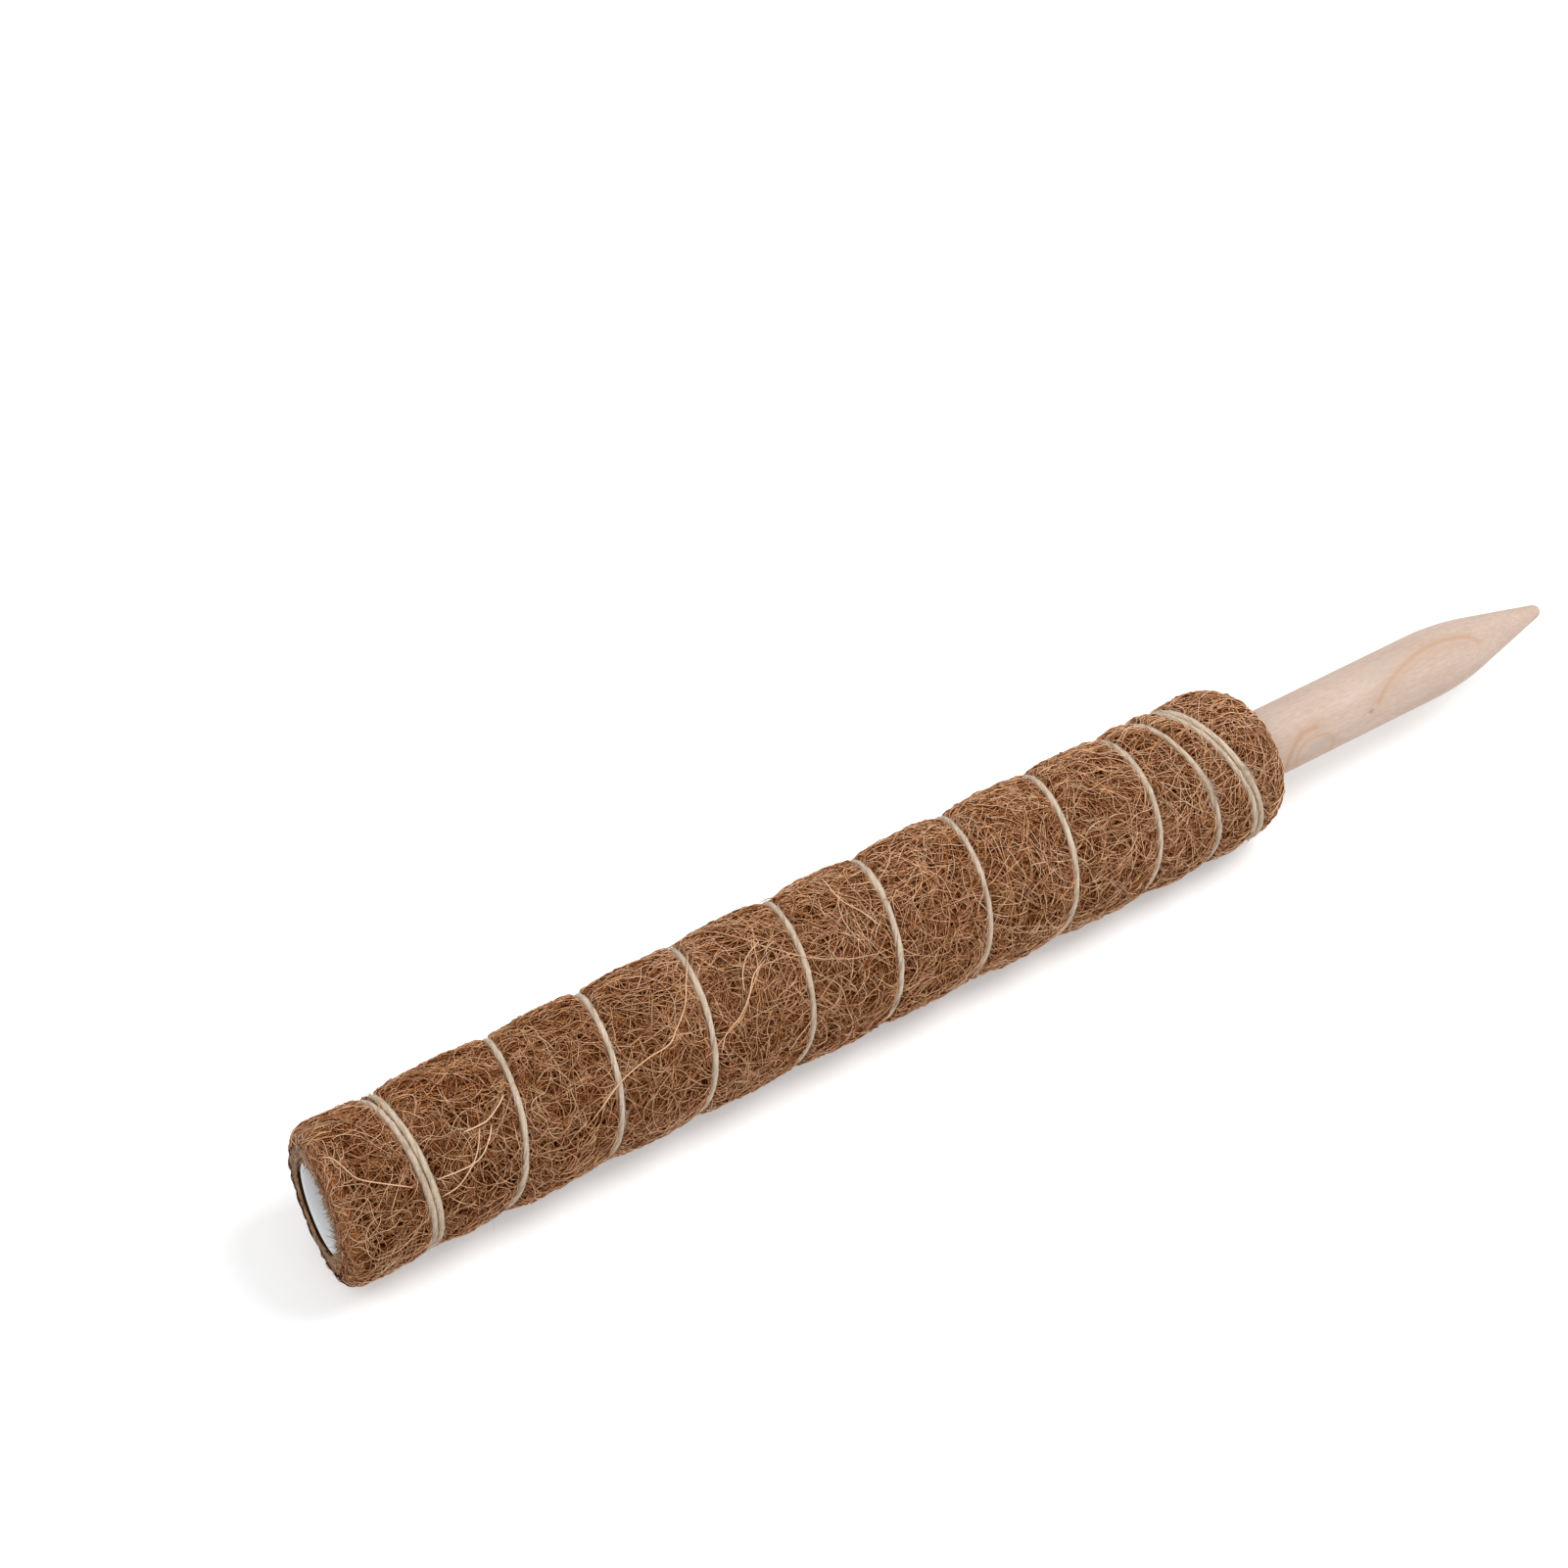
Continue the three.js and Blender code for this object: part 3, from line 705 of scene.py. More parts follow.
# Smooth curves, for laid fibres, the ties of the twine and lines in the wood
def catmull(points, count):
    """A smooth curve through points, count samples to each span."""
    padded = np.concatenate([[2 * points[0] - points[1]], points, [2 * points[-1] - points[-2]]])
    t = np.linspace(0, 1, count, endpoint=False)[:, None]
    spans = []
    for a, b, c, d in zip(padded, padded[1:], padded[2:], padded[3:]):
        square = 2 * a - 5 * b + 4 * c - d
        cube = 3 * b - a - 3 * c + d
        spans.append(0.5 * (2 * b + (c - a) * t + square * t**2 + cube * t**3))
    spans.append(points[-1:])
    return np.concatenate(spans)


# Fibres that stand out on the front, each by its distance from the open end and its angle in degrees
LAID_FIBRES = [
    [(86, 77), (81.8, 97), (78.4, 114), (74.3, 126), (71.4, 133), (66.2, 135), (59.4, 142), (50, 159)],
    [(1.2, 95), (3, 102), (4.2, 112), (5.7, 122), (9.7, 133), (13.7, 143)],
    [(30, 127), (28, 139), (25.5, 148), (22, 156), (18.5, 159)],
    [(32.6, 128), (30.4, 138), (26.7, 146), (18.6, 146)],
    [(37.6, 114), (35, 120), (31.7, 125), (26.7, 125)],
    [(98, 110), (94, 116), (91, 127), (87.5, 137), (83.5, 144), (81.5, 155)],
    [(119.8, 66), (118.6, 93), (120.8, 110), (122.9, 125)],
    [(99.4, 95), (94.7, 103), (91.9, 113), (90.4, 124)],
]
LAID_SAMPLES = 12
LAID_POINTS = 40
LAID_HEIGHT = 0.3
LAID_WIDTH = (0.24, 0.32)
LAID_TONES = (0.8, 0.94)
# Painted shade on the flanks of the laid fibres, with a painted highlight on their backs
LAID_FLANK_SHADE = 0.3


def laid_fibres():
    outside = int(np.argmax(SKIN_R >= crest_radius(0.0) - TOP_ROUND_RADIAL))
    paths = []
    for places in LAID_FIBRES:
        curve = catmull(np.array(places, float), LAID_SAMPLES)
        pick = np.linspace(0, len(curve) - 1, LAID_POINTS)
        at = np.interp(pick, np.arange(len(curve)), curve[:, 0])
        angle = np.radians(np.interp(pick, np.arange(len(curve)), curve[:, 1]))
        along = np.interp(at, SKIN_AT[outside:], SKIN_LENGTH[outside:])
        paths.append(over_everything(along, angle, np.full(LAID_POINTS, LAID_HEIGHT)))
    paths = np.stack(paths)
    width = tapered(rng.uniform(*LAID_WIDTH, len(paths)) / 1000, LAID_POINTS)
    tones = rng.uniform(*LAID_TONES, len(paths))[:, None] + 0 * width
    strands("coir_laid_fibres", paths, width, tones, coir_material, sides=5, flank_shade=LAID_FLANK_SHADE)


laid_fibres()


# Twine: two soft plies twisted together along the CAD route, with yarns and hairs on them
TURN_STEPS = 120
HITCH_SAMPLES = 16
HITCH_WAY = TWINE_R * 5.6
HITCH_OVER = TWINE_R * 2.8

# A tie's way over the turn beside it, as shares of the way along the twine, the reach across and the rise
HITCH_STEPS = [
    (0.36, 0.0, 0.17), (0.69, 0.05, 0.52), (0.93, 0.24, 0.88), (1, 0.48, 1), (1, 0.76, 0.92),
    (1, 0.95, 0.58), (1, 1, 0.14),
]


def hitch(turn, ahead, reach):
    """The tie, as in the CAD source: over the turn beside it, then down into the mat."""
    radius = float(wind_radius(turn))
    steps = [(along * HITCH_WAY, across * reach, lift * HITCH_OVER) for along, across, lift in HITCH_STEPS]
    along, across, lift = steps[-1]
    steps.append((along, across, lift - 2 * TWINE_R))
    points = []
    for along, across, lift in steps:
        there = turn + ahead * along / (FULL_TURN * radius)
        points.append(to_row(wind_station(there) + across, radius + lift, wind_angle(there)))
    return np.array(points)


def twine_route(spacing):
    """Even points along the twine, from the end of one tie to the end of the other."""
    turn = np.linspace(0, TURNS, int(TURNS) * TURN_STEPS + 1)
    winding = to_row(wind_station(turn), wind_radius(turn), wind_angle(turn))
    start = catmull(np.concatenate([winding[3:0:-2], hitch(0.0, -1, HITCH_REACH)]), HITCH_SAMPLES)
    finish = catmull(np.concatenate([winding[-4:-1:2], hitch(TURNS, 1, -HITCH_REACH)]), HITCH_SAMPLES)
    route = np.concatenate([start[::-1], winding[4:-4], finish])
    far = np.concatenate([[0], np.cumsum(np.linalg.norm(np.diff(route, axis=0), axis=1))])
    even = np.arange(0, far[-1], spacing)
    return np.stack([np.interp(even, far, route[:, k]) for k in range(3)], axis=1)


def carried_frames(route):
    """Tangents and two normals that don't twist along a route."""
    tangent = np.gradient(route, axis=0)
    tangent /= np.linalg.norm(tangent, axis=1, keepdims=True)
    normals = np.zeros_like(route)
    normal = np.array([1.0, 0.0, 0.0])
    for k, along in enumerate(tangent):
        normal = normal - normal.dot(along) * along
        normal /= np.linalg.norm(normal)
        normals[k] = normal
    return tangent, normals, np.cross(tangent, normals)


# The twine's plies and yarns, with sizes in metres; the place of its splice is in millimetres
SPACING = 0.0006
PLIES = 2
PLY_PITCH = 0.011
PLY_R = 0.00057
PLY_OFFSET = 0.0001
PLY_TONE = 0.46
YARNS = 14
YARN_PITCH = 0.017
YARN_OFFSET = 0.00058
YARN_WIDTH = (0.00014, 0.00027)
YARN_TONES = (0.40, 0.90)
# Painted shade on the yarns' flanks, with a painted highlight on their backs
YARN_FLANK_SHADE = 0.3
YARN_LOOSENESS = 0.35
TWIST_SEED = 0.4
YARN_SEED = 1.7
SPLICE_AT = 128.5
SPLICE_ANGLE = math.radians(88)
SPLICE_REACH = 0.0045
SPLICE_SWELL = 0.4

# Waves along the twine, each by its height, length in metres and phase
SWELLS = [(0.07, 0.0071, 0), (0.05, 0.0029, 2), (0.06, 0.031, 1)]
PLY_TONE_WAVES = [(0.08, 0.011, 0)]
YARN_TONE_WAVES = [(0.15, 0.013, 0)]


def jute_material():
    material, tree, shader = node_material("jute_twine")
    where = object_coordinates(tree)
    streak = noise(tree, where, scale=1500.0, detail=3.0)
    tone = swung(tree, tone_of(tree), streak, amount=0.6)
    tone = swung(tree, tone, noise(tree, where, scale=240.0, detail=2.0), amount=0.35)
    tree.links.new(ramp(tree, JUTE_STOPS, tone), shader.inputs["Base Color"])
    bumped(tree, shader, streak, strength=0.5, distance=0.0002)
    finished(shader, roughness=0.85, specular=0.2)
    return material


jute = jute_material()


def twisted(route, far, phase, pitch, offset):
    """A path twisted round the twine's route."""
    _, normal, side = carried_frames(route)
    turn = FULL_TURN * far / pitch + phase
    round_it = normal * np.cos(turn)[:, None] + side * np.sin(turn)[:, None]
    return route + offset[:, None] * round_it


def waves(far, table):
    """Waves along the twine, added up."""
    return sum(height * np.sin(far / length + phase) for height, length, phase in table)


def swelling(route):
    """The twine is thicker and thinner by turns, and thickest where a new length is spliced in."""
    far = np.arange(len(route)) * SPACING
    splice = to_row(SPLICE_AT, crest_radius(SPLICE_AT), SPLICE_ANGLE)
    gap = np.linalg.norm(route - splice, axis=1)
    return 1 + waves(far, SWELLS) + SPLICE_SWELL * np.exp(-((gap / SPLICE_REACH) ** 4))


def loose_twist(far, seed):
    """Twist that runs faster and slower along the twine."""
    return waves(far, [(0.7, 0.017, seed), (0.4, 0.0063, 2.3 * seed)])


def twine_plies(route):
    far = np.arange(len(route)) * SPACING
    paths = []
    for ply in range(PLIES):
        phase = FULL_TURN * ply / PLIES + loose_twist(far, TWIST_SEED)
        paths.append(twisted(route, far, phase, PLY_PITCH, PLY_OFFSET * swelling(route)))
    paths = np.stack(paths)
    widths = 2 * PLY_R * swelling(route)[None] + 0 * paths[..., 0]
    tones = PLY_TONE + waves(far, PLY_TONE_WAVES)[None] + 0 * widths
    piece = strands("twine_plies", paths, widths, tones, jute, sides=8)
    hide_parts("twine")


def twine_yarns(route):
    """Thin yarns on the plies, with painted shade on their flanks and a painted highlight on their backs.
    """
    far = np.arange(len(route)) * SPACING
    paths = []
    for yarn in range(YARNS):
        phase = FULL_TURN * yarn / YARNS + loose_twist(far, TWIST_SEED)
        phase = phase + YARN_LOOSENESS * loose_twist(far, YARN_SEED * yarn)
        drift = waves(far, [(0.00005, 0.006, yarn), (0.00004, 0.0023, 3 * yarn)])
        paths.append(twisted(route, far, phase, YARN_PITCH, YARN_OFFSET * swelling(route) + drift))
    paths = np.stack(paths)
    widths = rng.uniform(*YARN_WIDTH, YARNS)[:, None] + 0 * paths[..., 0]
    tones = rng.uniform(*YARN_TONES, YARNS)[:, None] + waves(far, YARN_TONE_WAVES)[None] + 0 * widths
    strands("twine_yarns", paths, widths, tones, jute, flank_shade=YARN_FLANK_SHADE)


# Hairs of the twine: shares of their length, widths in millimetres and offsets in metres
HAIRLESS_END = 20
HAIR_POINTS = 5
HAIR_FORWARD = 0.85
HAIR_LEAST_LEAN = 0.1
HAIR_DROOP = 0.6
HAIR_SWAY = 0.35
HAIR_LEAST_WIDTH = 0.04
HAIR_ENDS = 0.3
HAIR_TONE = 0.60
HAIR_TONE_SPREAD = 0.18
HAIR_ROOT = 0.0006
HAIR_OFF_FLOOR = 0.00006


def twine_hairs(name, route, root, length, lean_most, width_most):
    """Fine hairs that stand off the twine; root gives the points of the route that they grow from."""
    count = len(root)
    tangent, normal, side = carried_frames(route)
    turn = rng.uniform(0, FULL_TURN, count)
    out = normal[root] * np.cos(turn)[:, None] + side[root] * np.sin(turn)[:, None]
    way = tangent[root] * rng.choice([-1.0, 1.0], count)[:, None]
    across = np.cross(out, way)
    k = np.linspace(0, 1, HAIR_POINTS)
    lean = rng.uniform(HAIR_LEAST_LEAN, lean_most, count)[:, None]
    rise = lean * k * (1 - HAIR_DROOP * k * rng.uniform(0, 1, count)[:, None])
    sway = rng.normal(0, HAIR_SWAY, count)[:, None] * k**2
    off = rise[..., None] * out[:, None] + sway[..., None] * across[:, None]
    path = route[root][:, None] + HAIR_ROOT * out[:, None]
    path = path + length[:, None, None] * (k[None, :, None] * way[:, None] * HAIR_FORWARD)
    path = path + length[:, None, None] * off
    path[..., 2] = np.maximum(path[..., 2], HAIR_OFF_FLOOR)
    width = tapered(rng.uniform(HAIR_LEAST_WIDTH, width_most, count) / 1000, HAIR_POINTS, HAIR_ENDS)
    tones = rng.normal(HAIR_TONE, HAIR_TONE_SPREAD, count)[:, None] + 0 * width
    strands(name, path, width, tones, jute)


# Where the twine is frayed: distance from the open end and angle in degrees
FRAYED_PLACES = [(215.4, 143), (203.4, 140)]
FRAYED_REACH = 0.003


def roots(route, count):
    """Points of the route for hairs, away from the ends of the twine."""
    return rng.integers(HAIRLESS_END, len(route) - HAIRLESS_END, count)


def frayed_roots(route, count):
    """Points of the route for hairs, by the frayed places."""
    gaps = []
    for at, angle in FRAYED_PLACES:
        place = to_row(at, crest_radius(at), math.radians(angle))
        gaps.append(np.linalg.norm(route - place, axis=1))
    return rng.choice(np.flatnonzero(np.min(gaps, axis=0) < FRAYED_REACH), count)


FUZZ_COUNT = 7000
STRAY_COUNT = 700
FRAYED_COUNT = 260
TWINE_ROUTE = twine_route(SPACING)
twine_plies(TWINE_ROUTE)
twine_yarns(TWINE_ROUTE)
FUZZ_ROOTS = roots(TWINE_ROUTE, FUZZ_COUNT)
STRAY_ROOTS = roots(TWINE_ROUTE, STRAY_COUNT)
FRAYED_ROOTS = frayed_roots(TWINE_ROUTE, FRAYED_COUNT)
FUZZ_LENGTHS = rng.gamma(3.0, 0.00042, FUZZ_COUNT)
twine_hairs("twine_fuzz", TWINE_ROUTE, FUZZ_ROOTS, FUZZ_LENGTHS, lean_most=0.55, width_most=0.09)
STRAY_LENGTHS = rng.uniform(0.0015, 0.0042, STRAY_COUNT)
twine_hairs("twine_stray_hairs", TWINE_ROUTE, STRAY_ROOTS, STRAY_LENGTHS, lean_most=0.35, width_most=0.08)
FRAYED_LENGTHS = rng.uniform(0.001, 0.0032, FRAYED_COUNT)
twine_hairs("twine_frayed_hairs", TWINE_ROUTE, FRAYED_ROOTS, FRAYED_LENGTHS, lean_most=0.7, width_most=0.14)


# The mat's sawn end: short matted fibres round the rim
CUT_ENDS = 0.3
RIM_FROM = 0.75
RIM_TO = 7.5
FELT_COUNT = 3600
FELT_POINTS = 6
FELT_STRAY = 2
FELT_SLANT = 0.75
FELT_LENGTH = (1.2, 3.6)
FELT_BOW = 0.35
FELT_BOW_MIDDLE = 0.08
FELT_HEIGHT = (-0.25, 0.06)
FELT_WIDTH = (0.12, 0.21)
FELT_TONE = 0.5
FELT_TONE_SPREAD = 0.17
# Painted shade: how much darker the rim's fibres are where they lie deeper, per millimetre
FELT_DEPTH_SHADE = 0.9
FELT_PALER = 0.1
BROWN_FROM = (0.0, 0.5)


def rim_felt():
    along = rng.uniform(RIM_FROM, RIM_TO, FELT_COUNT)
    angle = rng.uniform(0, FULL_TURN, FELT_COUNT)
    round_way = rng.normal(0, FELT_SLANT, FELT_COUNT) + math.pi * rng.integers(0, 2, FELT_COUNT)
    length = rng.uniform(*FELT_LENGTH, FELT_COUNT)[:, None]
    k = np.linspace(-0.5, 0.5, FELT_POINTS)[None]
    bow = rng.normal(0, FELT_BOW, FELT_COUNT)[:, None] * (k**2 - FELT_BOW_MIDDLE)
    path_along = along[:, None] + length * (k * np.sin(round_way)[:, None] + bow)
    path_along = np.clip(path_along, RIM_FROM, RIM_TO + FELT_STRAY)
    radius = np.interp(path_along, SKIN_LENGTH, SKIN_R)
    path_angle = angle[:, None] + length * k * np.cos(round_way)[:, None] / radius
    lift = rng.uniform(*FELT_HEIGHT, FELT_COUNT)[:, None] + 0 * k
    paths = fibre_points(path_along, path_angle, lift)
    width = tapered(rng.uniform(*FELT_WIDTH, FELT_COUNT) / 1000, FELT_POINTS, CUT_ENDS)
    tone = np.clip(rng.normal(FELT_TONE, FELT_TONE_SPREAD, FELT_COUNT), 0, 1)
    # Painted shade where the rim's fibres lie deeper
    tones = tone[:, None] + FELT_DEPTH_SHADE * lift + FELT_PALER
    brown = np.cos(angle - FRINGE_SIDE) > rng.uniform(*BROWN_FROM, FELT_COUNT)
    strands("coir_rim_felt", paths[~brown], width[~brown], tones[~brown], rim_material)
    strands("coir_rim_fibres", paths[brown], width[brown], tones[brown], coir_material)


# A fringe over the mouth where the saw pressed down; its reaches out and in have a mean and a spread
FRINGE_COUNT = 1600
FRINGE_POINTS = 5
FRINGE_SPREAD = 0.8
FRINGE_LEAN = 0.5
FRINGE_ROOT_AT = (0.0, 0.5)
FRINGE_ROOT_OUT = (0.1, 0.8)
FRINGE_OUT = (0.55, 0.35)
FRINGE_IN = (0.75, 0.3)
FRINGE_LEAST_R = STAKE_R + 0.2
FRINGE_WIDTH = (0.09, 0.17)
FRINGE_TONE = 0.6
FRINGE_TONE_SPREAD = 0.2


def rim_fringe():
    angle = FRINGE_SIDE + rng.normal(0, FRINGE_SPREAD, FRINGE_COUNT)
    k = np.linspace(0, 1, FRINGE_POINTS)[None]
    reach = rng.gamma(4.0, 0.21, FRINGE_COUNT)[:, None] * k
    lean = rng.normal(0, FRINGE_LEAN, (3, FRINGE_COUNT, 1))
    root_at = rng.uniform(*FRINGE_ROOT_AT, FRINGE_COUNT)[:, None]
    at = root_at - reach * (FRINGE_OUT[0] + FRINGE_OUT[1] * lean[0])
    root_r = MOUTH_R + rng.uniform(*FRINGE_ROOT_OUT, FRINGE_COUNT)[:, None]
    radius = np.maximum(root_r - reach * (FRINGE_IN[0] + FRINGE_IN[1] * lean[1]), FRINGE_LEAST_R)
    path_angle = angle[:, None] + lean[2] * reach / TUBE_R
    paths = to_row(at + saw_shift(radius, path_angle), radius, path_angle)
    width = tapered(rng.uniform(*FRINGE_WIDTH, FRINGE_COUNT) / 1000, FRINGE_POINTS, CUT_ENDS)
    tone = np.clip(rng.normal(FRINGE_TONE, FRINGE_TONE_SPREAD, FRINGE_COUNT), 0, 1)
    strands("coir_rim_fringe", paths, width, tone[:, None] + 0 * width, rim_material)


rim_felt()
rim_fringe()


# Turned pieces: the tube and the stake
PIPE_AROUND = 120
PIPE_OUTSIDE_RINGS = 11
PIPE_INSIDE_RINGS = 30
PIPE_OUTSIDE_FROM = 6
PIPE_INSIDE_FROM = TUBE_TOP_AT + 2
PIPE_EDGE = 0.25


def turned_grid(at, segments):
    """Distances and angles of the points of a turned piece, rings by points round it."""
    return np.meshgrid(at, np.arange(segments) * FULL_TURN / segments, indexing="ij")


def turned_mesh(name, at, radius, segments, skewed):
    grid_at, grid_angle = turned_grid(at, segments)
    grid_r = np.asarray(radius)[:, None] + 0 * grid_angle
    if skewed:
        grid_at = sawn(grid_at, grid_r, grid_angle)
    number = np.arange(len(at) * segments).reshape(len(at), segments)
    return quads_mesh(name, to_row(grid_at, grid_r, grid_angle), ring_quads(number[:-1], number[1:]))


def plastic_material():
    material, tree, shader = node_material("white_pipe")
    where = object_coordinates(tree)
    cloud = noise(tree, where, scale=120.0, detail=3.0)
    stops = [(0.3, (0.85, 0.86, 0.875)), (0.7, (0.90, 0.905, 0.915))]
    tree.links.new(ramp(tree, stops, cloud), shader.inputs["Base Color"])
    rough = noise(tree, stretched(tree, where, (0.1, 1.0, 1.0)), scale=700.0, detail=3.0)
    shine = ramp(tree, [(0.3, (0.3, 0.3, 0.3)), (0.7, (0.45, 0.45, 0.45))], rough)
    tree.links.new(shine, shader.inputs["Roughness"])
    return material


def pipe():
    outside_at = np.linspace(TUBE_FOOT_AT, PIPE_OUTSIDE_FROM, PIPE_OUTSIDE_RINGS)
    outside_r = np.full(PIPE_OUTSIDE_RINGS, TUBE_R)
    end_at = [TUBE_TOP_AT + PIPE_EDGE, TUBE_TOP_AT, TUBE_TOP_AT, TUBE_TOP_AT + PIPE_EDGE]
    end_r = [TUBE_R, TUBE_R - PIPE_EDGE, TUBE_BORE_R + PIPE_EDGE, TUBE_BORE_R]
    inside_at = np.linspace(PIPE_INSIDE_FROM, TUBE_FOOT_AT, PIPE_INSIDE_RINGS)
    inside_r = np.full(PIPE_INSIDE_RINGS, TUBE_BORE_R)
    at = np.concatenate([[TUBE_FOOT_AT], outside_at, end_at, inside_at])
    radius = np.concatenate([[TUBE_BORE_R], outside_r, end_r, inside_r])
    mesh = turned_mesh("pipe", at, radius, PIPE_AROUND, skewed=True)
    piece = shown("pipe", mesh, "pole", plastic_material())
    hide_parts("core_tube")


pipe()


def blot(tree, where, place, size):
    """A soft oval mark: one at its middle, nothing beyond its size. Place and size are in metres."""
    node = tree.nodes.new("ShaderNodeMapping")
    node.vector_type = "TEXTURE"
    node.inputs["Location"].default_value = place
    node.inputs["Scale"].default_value = size
    tree.links.new(where, node.inputs["Vector"])
    ball = tree.nodes.new("ShaderNodeTexGradient")
    ball.gradient_type = "SPHERICAL"
    tree.links.new(node.outputs["Vector"], ball.inputs["Vector"])
    return ball.outputs["Fac"]


def on_stake(at, angle):
    """A place on the stake's shaft, in metres."""
    return tuple(to_row(at, STAKE_R, math.radians(angle)))


def stained(tree, colour, mark, stain, amount):
    """Colour mixed toward a stain where a mark is."""
    mix = tree.nodes.new("ShaderNodeMix")
    mix.data_type = "RGBA"
    mix.inputs["B"].default_value = (*stain, 1)
    tree.links.new(math_node(tree, "MULTIPLY", mark, amount), mix.inputs["Factor"])
    tree.links.new(colour, mix.inputs["A"])
    return mix.outputs["Result"]


# Lines of the wood's figure: places like those of laid fibres, half widths in millimetres, strengths
GRAIN_ARCH = [
    (255.8, 150), (257.4, 140), (258.8, 133), (261.9, 122), (265.5, 113), (270, 105), (274, 103),
    (278.5, 105), (282.4, 113), (284.5, 120), (285.8, 133),
]
GRAIN_INNER = [(261, 138), (264.5, 125), (269, 116), (274, 112), (279, 116), (282, 126)]
KNOT_OUTER = [
    (229.6, 195), (230, 184), (230.6, 169), (232.2, 155), (234.5, 143), (236.5, 140), (239, 141),
]
KNOT_RING = [
    (232.5, 183), (233.3, 166), (235.3, 157), (238.5, 156), (241.1, 161), (242.5, 174), (242.7, 192),
    (241, 212), (237, 212), (233.5, 200), (232.5, 183),
]
FIGURE_LINES = [
    (GRAIN_ARCH, 0.5, 0.8),
    (GRAIN_INNER, 1.2, 0.25),
    (KNOT_OUTER, 0.6, 0.85),
    (KNOT_RING, 0.4, 0.6),
]
FIGURE_SAMPLES = 10
FIGURE_CRISP = 0.6
FIGURE_FADE = 3.5

# Marks in the wood, each by its places, the size of a blot in metres, a colour and a strength
TAN = (0.56, 0.34, 0.21)
GREYISH = (0.52, 0.45, 0.37)
BROWN = (0.25, 0.17, 0.12)
STAKE_MARKS = [
    ([(237.8, 172), (239.6, 172)], (0.0030, 0.0020, 0.0020), GREYISH, 0.8),
    ([(259.5, 102), (262, 92)], (0.0060, 0.0030, 0.0030), GREYISH, 0.4),
    ([(253.4, 159)], (0.0011, 0.0008, 0.0008), BROWN, 0.6),
    ([(308, 129)], (0.0110, 0.0080, 0.0080), TAN, 0.5),
]


def figure(at, angle):
    """How strongly the wood's darker lines show at places on the stake."""
    shown_there = np.zeros(at.shape)
    for line, half_width, strength in FIGURE_LINES:
        curve = catmull(np.array(line, float), FIGURE_SAMPLES)
        off_arc = STAKE_R * (angle[..., None] - np.radians(curve[:, 1]))
        gap = np.hypot(at[..., None] - curve[:, 0], off_arc).min(axis=-1) / half_width
        drawn = FIGURE_CRISP * np.exp(-(gap**2)) + (1 - FIGURE_CRISP) * np.exp(-gap / FIGURE_FADE)
        shown_there = np.maximum(shown_there, strength * drawn)
    return shown_there


WOOD_STOPS = [
    (0.3, (0.592, 0.438, 0.352)),
    (0.5, (0.645, 0.488, 0.398)),
    (0.7, (0.692, 0.542, 0.455)),
]


def wood_material():
    material, tree, shader = node_material("stake_wood")
    where = object_coordinates(tree)
    grain = noise(tree, stretched(tree, where, (0.12, 1.0, 1.0)), scale=420.0, detail=5.0)
    fine = noise(tree, stretched(tree, where, (0.2, 1.0, 1.0)), scale=2600.0, detail=3.0)
    broad = noise(tree, stretched(tree, where, (0.5, 1.0, 1.0)), scale=90.0, detail=3.0)
    mixed = swung(tree, 0.5, grain, amount=0.5)
    mixed = swung(tree, mixed, fine, amount=0.9)
    mixed = swung(tree, mixed, broad, amount=0.35)
    colour = stained(tree, ramp(tree, WOOD_STOPS, mixed), tone_of(tree), TAN, amount=1.0)
    for places, size, stain, amount in STAKE_MARKS:
        mark = blot(tree, where, on_stake(*places[0]), size)
        for place in places[1:]:
            mark = math_node(tree, "MAXIMUM", mark, blot(tree, where, on_stake(*place), size))
        colour = stained(tree, colour, mark, stain, amount)
    tree.links.new(colour, shader.inputs["Base Color"])
    bumped(tree, shader, grain, strength=0.2, distance=0.0002)
    finished(shader, roughness=0.6, specular=0.3)
    return material


STAKE_AROUND = 144
ROUND_RINGS = 24
CONE_RINGS = 40
HIDDEN_RINGS = 20
SHAFT_RINGS = 150
RING_STEP = 0.4
INNER_EDGE = 1
ON_AXIS = 1e-4


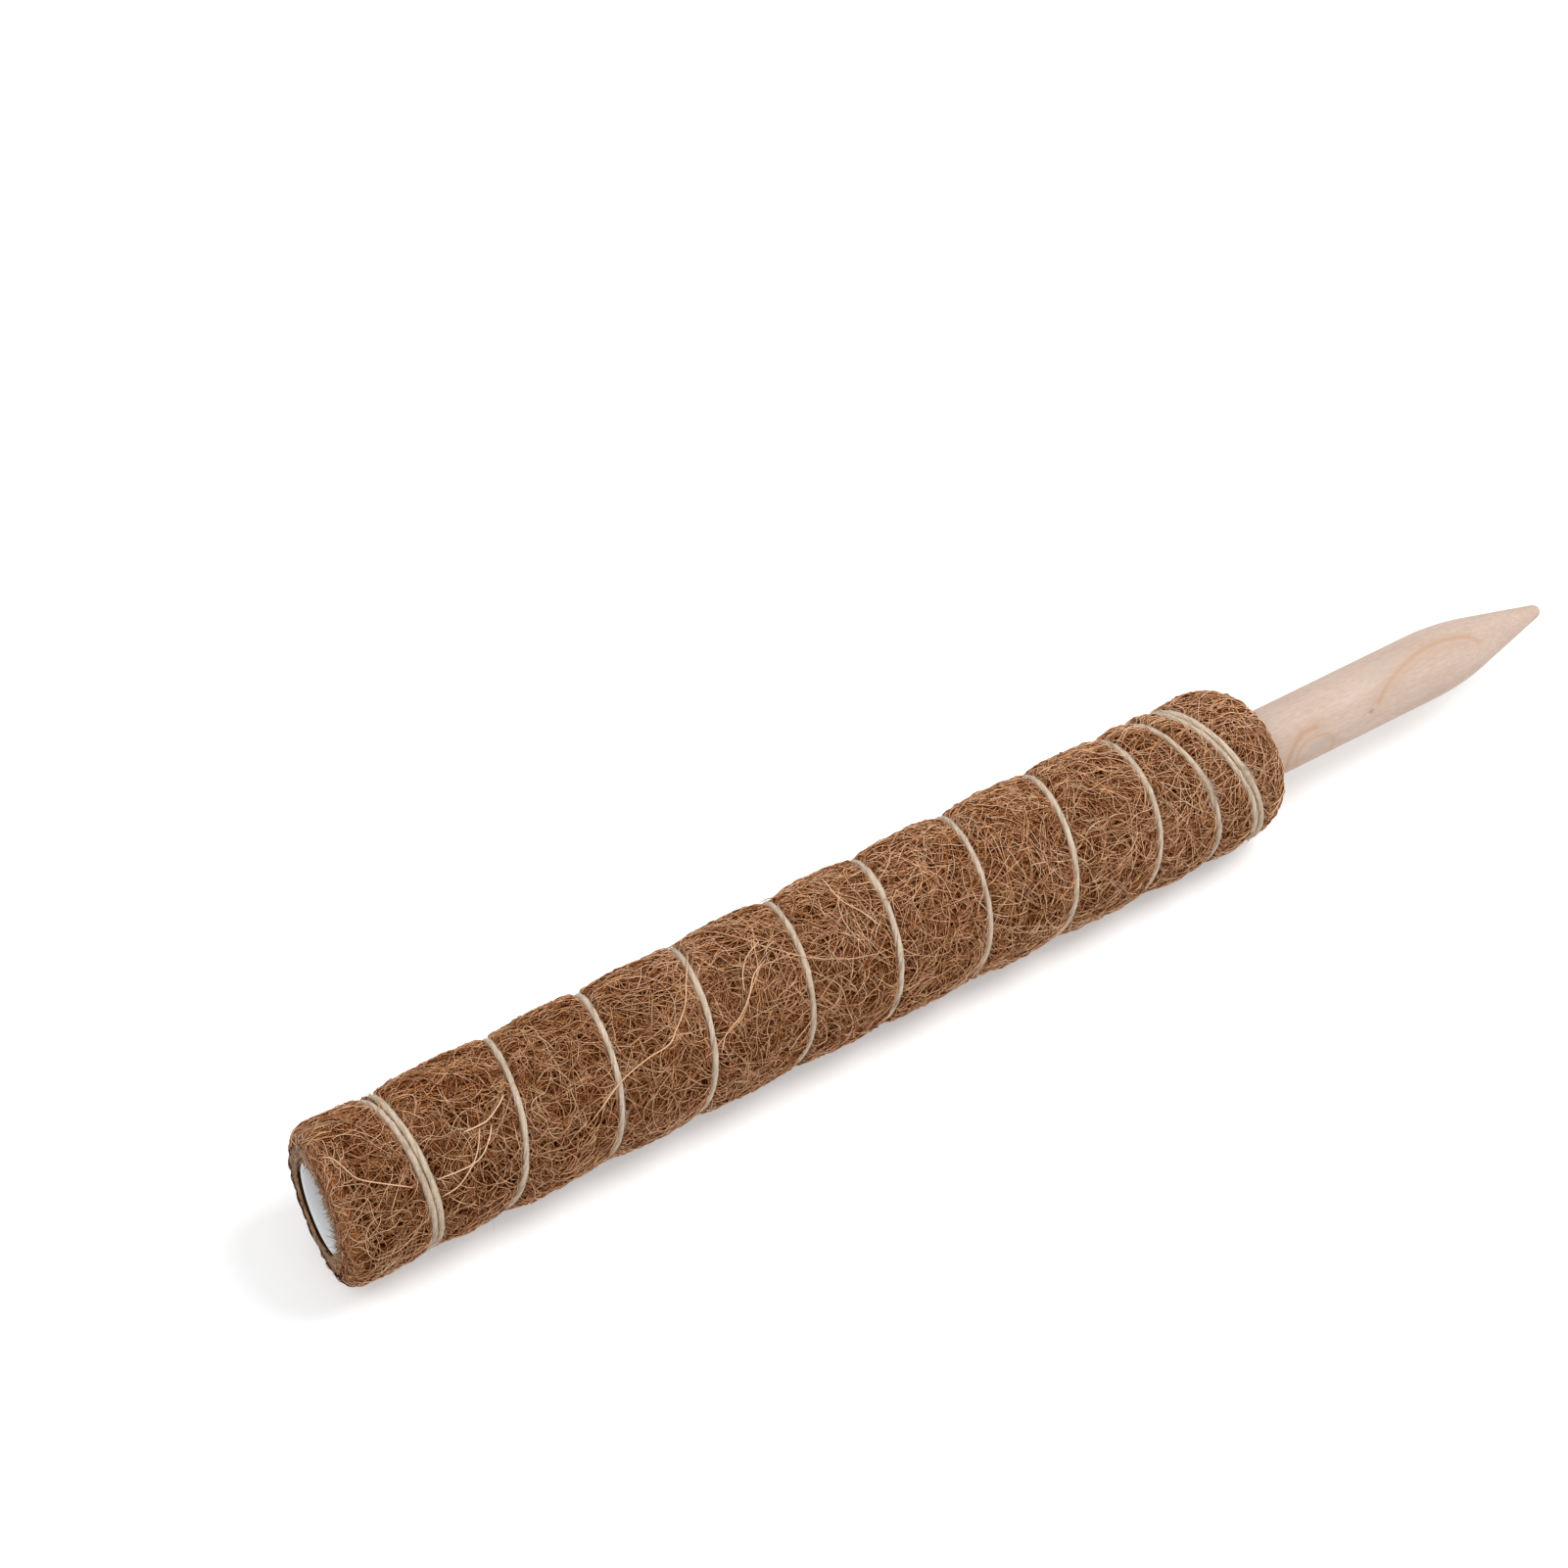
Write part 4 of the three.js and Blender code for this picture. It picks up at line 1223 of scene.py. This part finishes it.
def stake():
    corner_at = STAKE_END_AT - (STAKE_R - TIP_FLAT_R) / POINT_SLOPE
    shoulder_from = corner_at - SHOULDER_ROUND
    shoulder_to = corner_at + SHOULDER_ROUND
    tip_from = STAKE_END_AT - TIP_ROUND
    t = np.linspace(0, 1, ROUND_RINGS)
    first = (1 - t) ** 2
    second = 2 * t * (1 - t)
    third = t**2
    cone_at = np.linspace(shoulder_to + RING_STEP, tip_from - RING_STEP, CONE_RINGS)

    def cone_r(at):
        return TIP_FLAT_R + (STAKE_END_AT - at) * POINT_SLOPE

    hidden_at = np.linspace(STAKE_INNER_AT + INNER_EDGE, COIR_LENGTH - 1, HIDDEN_RINGS)
    shaft_at = np.linspace(COIR_LENGTH, shoulder_from - RING_STEP, SHAFT_RINGS)
    shaft_at = np.concatenate([hidden_at, shaft_at])
    round_at = first * shoulder_from + second * corner_at + third * shoulder_to
    round_r = (first + second) * STAKE_R + third * cone_r(shoulder_to)
    tip_at = first * tip_from + (second + third) * STAKE_END_AT
    tip_r = first * cone_r(tip_from) + second * TIP_FLAT_R + third * ON_AXIS
    at = np.concatenate([[STAKE_INNER_AT, STAKE_INNER_AT], shaft_at, round_at, cone_at, tip_at])
    shaft_r = np.full(len(shaft_at), STAKE_R)
    radius = np.concatenate([[ON_AXIS, STAKE_R - INNER_EDGE], shaft_r, round_r, cone_r(cone_at), tip_r])
    mesh = turned_mesh("stake", at, radius, STAKE_AROUND, skewed=False)
    write_tones(mesh, figure(*turned_grid(at, STAKE_AROUND)))
    piece = shown("stake", mesh, "stake", wood_material())
    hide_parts("wooden_stake")


stake()


# Floor, light and camera
FLOOR_HALF = 6.0
FLOOR_GLOW = 0.36
FAR_GLOW = 0.56
GLOW_REACH = 1.5
WORLD_LIGHT = 0.5


def seen_directly(tree):
    """One for rays from the camera, off gloss or through glass, and zero for rays that light the object."""
    path = tree.nodes.new("ShaderNodeLightPath")
    seen = math_node(tree, "ADD", path.outputs["Is Camera Ray"], path.outputs["Is Glossy Ray"])
    return math_node(tree, "ADD", seen, path.outputs["Is Transmission Ray"])


def floor():
    mesh = bpy.data.meshes.new("floor")
    corners = [(FLOOR_HALF * (2 * x - 1), FLOOR_HALF * (2 * y - 1), 0) for x, y in CORNERS]
    mesh.from_pydata(corners, [], [(0, 1, 2, 3)])
    piece = placed("floor", mesh)
    material, tree, shader = node_material("floor_white")
    cloud = noise(tree, object_coordinates(tree), scale=3.0, detail=2.0)
    stops = [(0.3, (0.88, 0.88, 0.88)), (0.7, (0.90, 0.90, 0.90))]
    tree.links.new(ramp(tree, stops, cloud), shader.inputs["Base Color"])
    finished(shader, roughness=0.9, specular=0.0)
    near = blot(tree, object_coordinates(tree), (0, 0, 0), (GLOW_REACH, GLOW_REACH, GLOW_REACH))
    glow = math_node(tree, "MULTIPLY_ADD", near, FLOOR_GLOW - FAR_GLOW, FAR_GLOW)
    seen_glow = math_node(tree, "MULTIPLY", seen_directly(tree), glow)
    shader.inputs["Emission Color"].default_value = (1, 1, 1, 1)
    tree.links.new(seen_glow, shader.inputs["Emission Strength"])
    piece.data.materials.append(material)


def looking(place, right, up, back):
    """A matrix from three axes and a place."""
    matrix = Matrix.Identity(4)
    for row in range(3):
        matrix[row][0] = right[row]
        matrix[row][1] = up[row]
        matrix[row][2] = back[row]
        matrix[row][3] = place[row]
    return matrix


def area_light(name, place, size, power):
    """A round lamp that points at the pole's middle."""
    light = bpy.data.lights.new(name, "AREA")
    light.shape = "DISK"
    light.size = size
    light.energy = power
    lamp = placed(name, light)
    back = np.array(place) / np.linalg.norm(place)
    right = np.cross([0, 0, 1], back)
    right /= np.linalg.norm(right)
    lamp.matrix_world = looking(place, right, np.cross(back, right), back)


def surroundings():
    world = bpy.data.worlds.new("studio")
    bpy.context.scene.world = world
    world.use_nodes = True
    tree = world.node_tree
    background = tree.nodes["Background"]
    background.inputs["Color"].default_value = (1, 1, 1, 1)
    strength = math_node(tree, "MULTIPLY_ADD", seen_directly(tree), 1 - WORLD_LIGHT, WORLD_LIGHT)
    tree.links.new(strength, background.inputs["Strength"])
    area_light("key", (0.5, -0.3, 0.95), size=0.6, power=6.5)
    area_light("fill", (-1.0, -0.2, 1.0), size=1.0, power=4.0)


# The camera that took the photo, by a fit to the pole's edges and twine
CAMERA_FROM_OPEN_END = (-0.20423, -0.44995, 0.5575)
CAMERA_RIGHT = (0.82316, -0.56782, 0.0)
CAMERA_UP = (0.38495, 0.55806, 0.73511)
CAMERA_BACK = (-0.41741, -0.60511, 0.67795)
CAMERA_LENS = 89.94


def camera():
    data = bpy.data.cameras.new("camera")
    data.sensor_width = 36.0
    data.lens = CAMERA_LENS
    data.clip_start = 0.01
    data.clip_end = 50.0
    eye = placed("camera", data)
    place = np.array(CAMERA_FROM_OPEN_END) + np.array([OPEN_END_X, AXIS_Y, AXIS_Z])
    eye.matrix_world = looking(place, CAMERA_RIGHT, CAMERA_UP, CAMERA_BACK)
    bpy.context.scene.camera = eye


floor()
surroundings()
camera()
bpy.context.scene.view_settings.view_transform = "Standard"
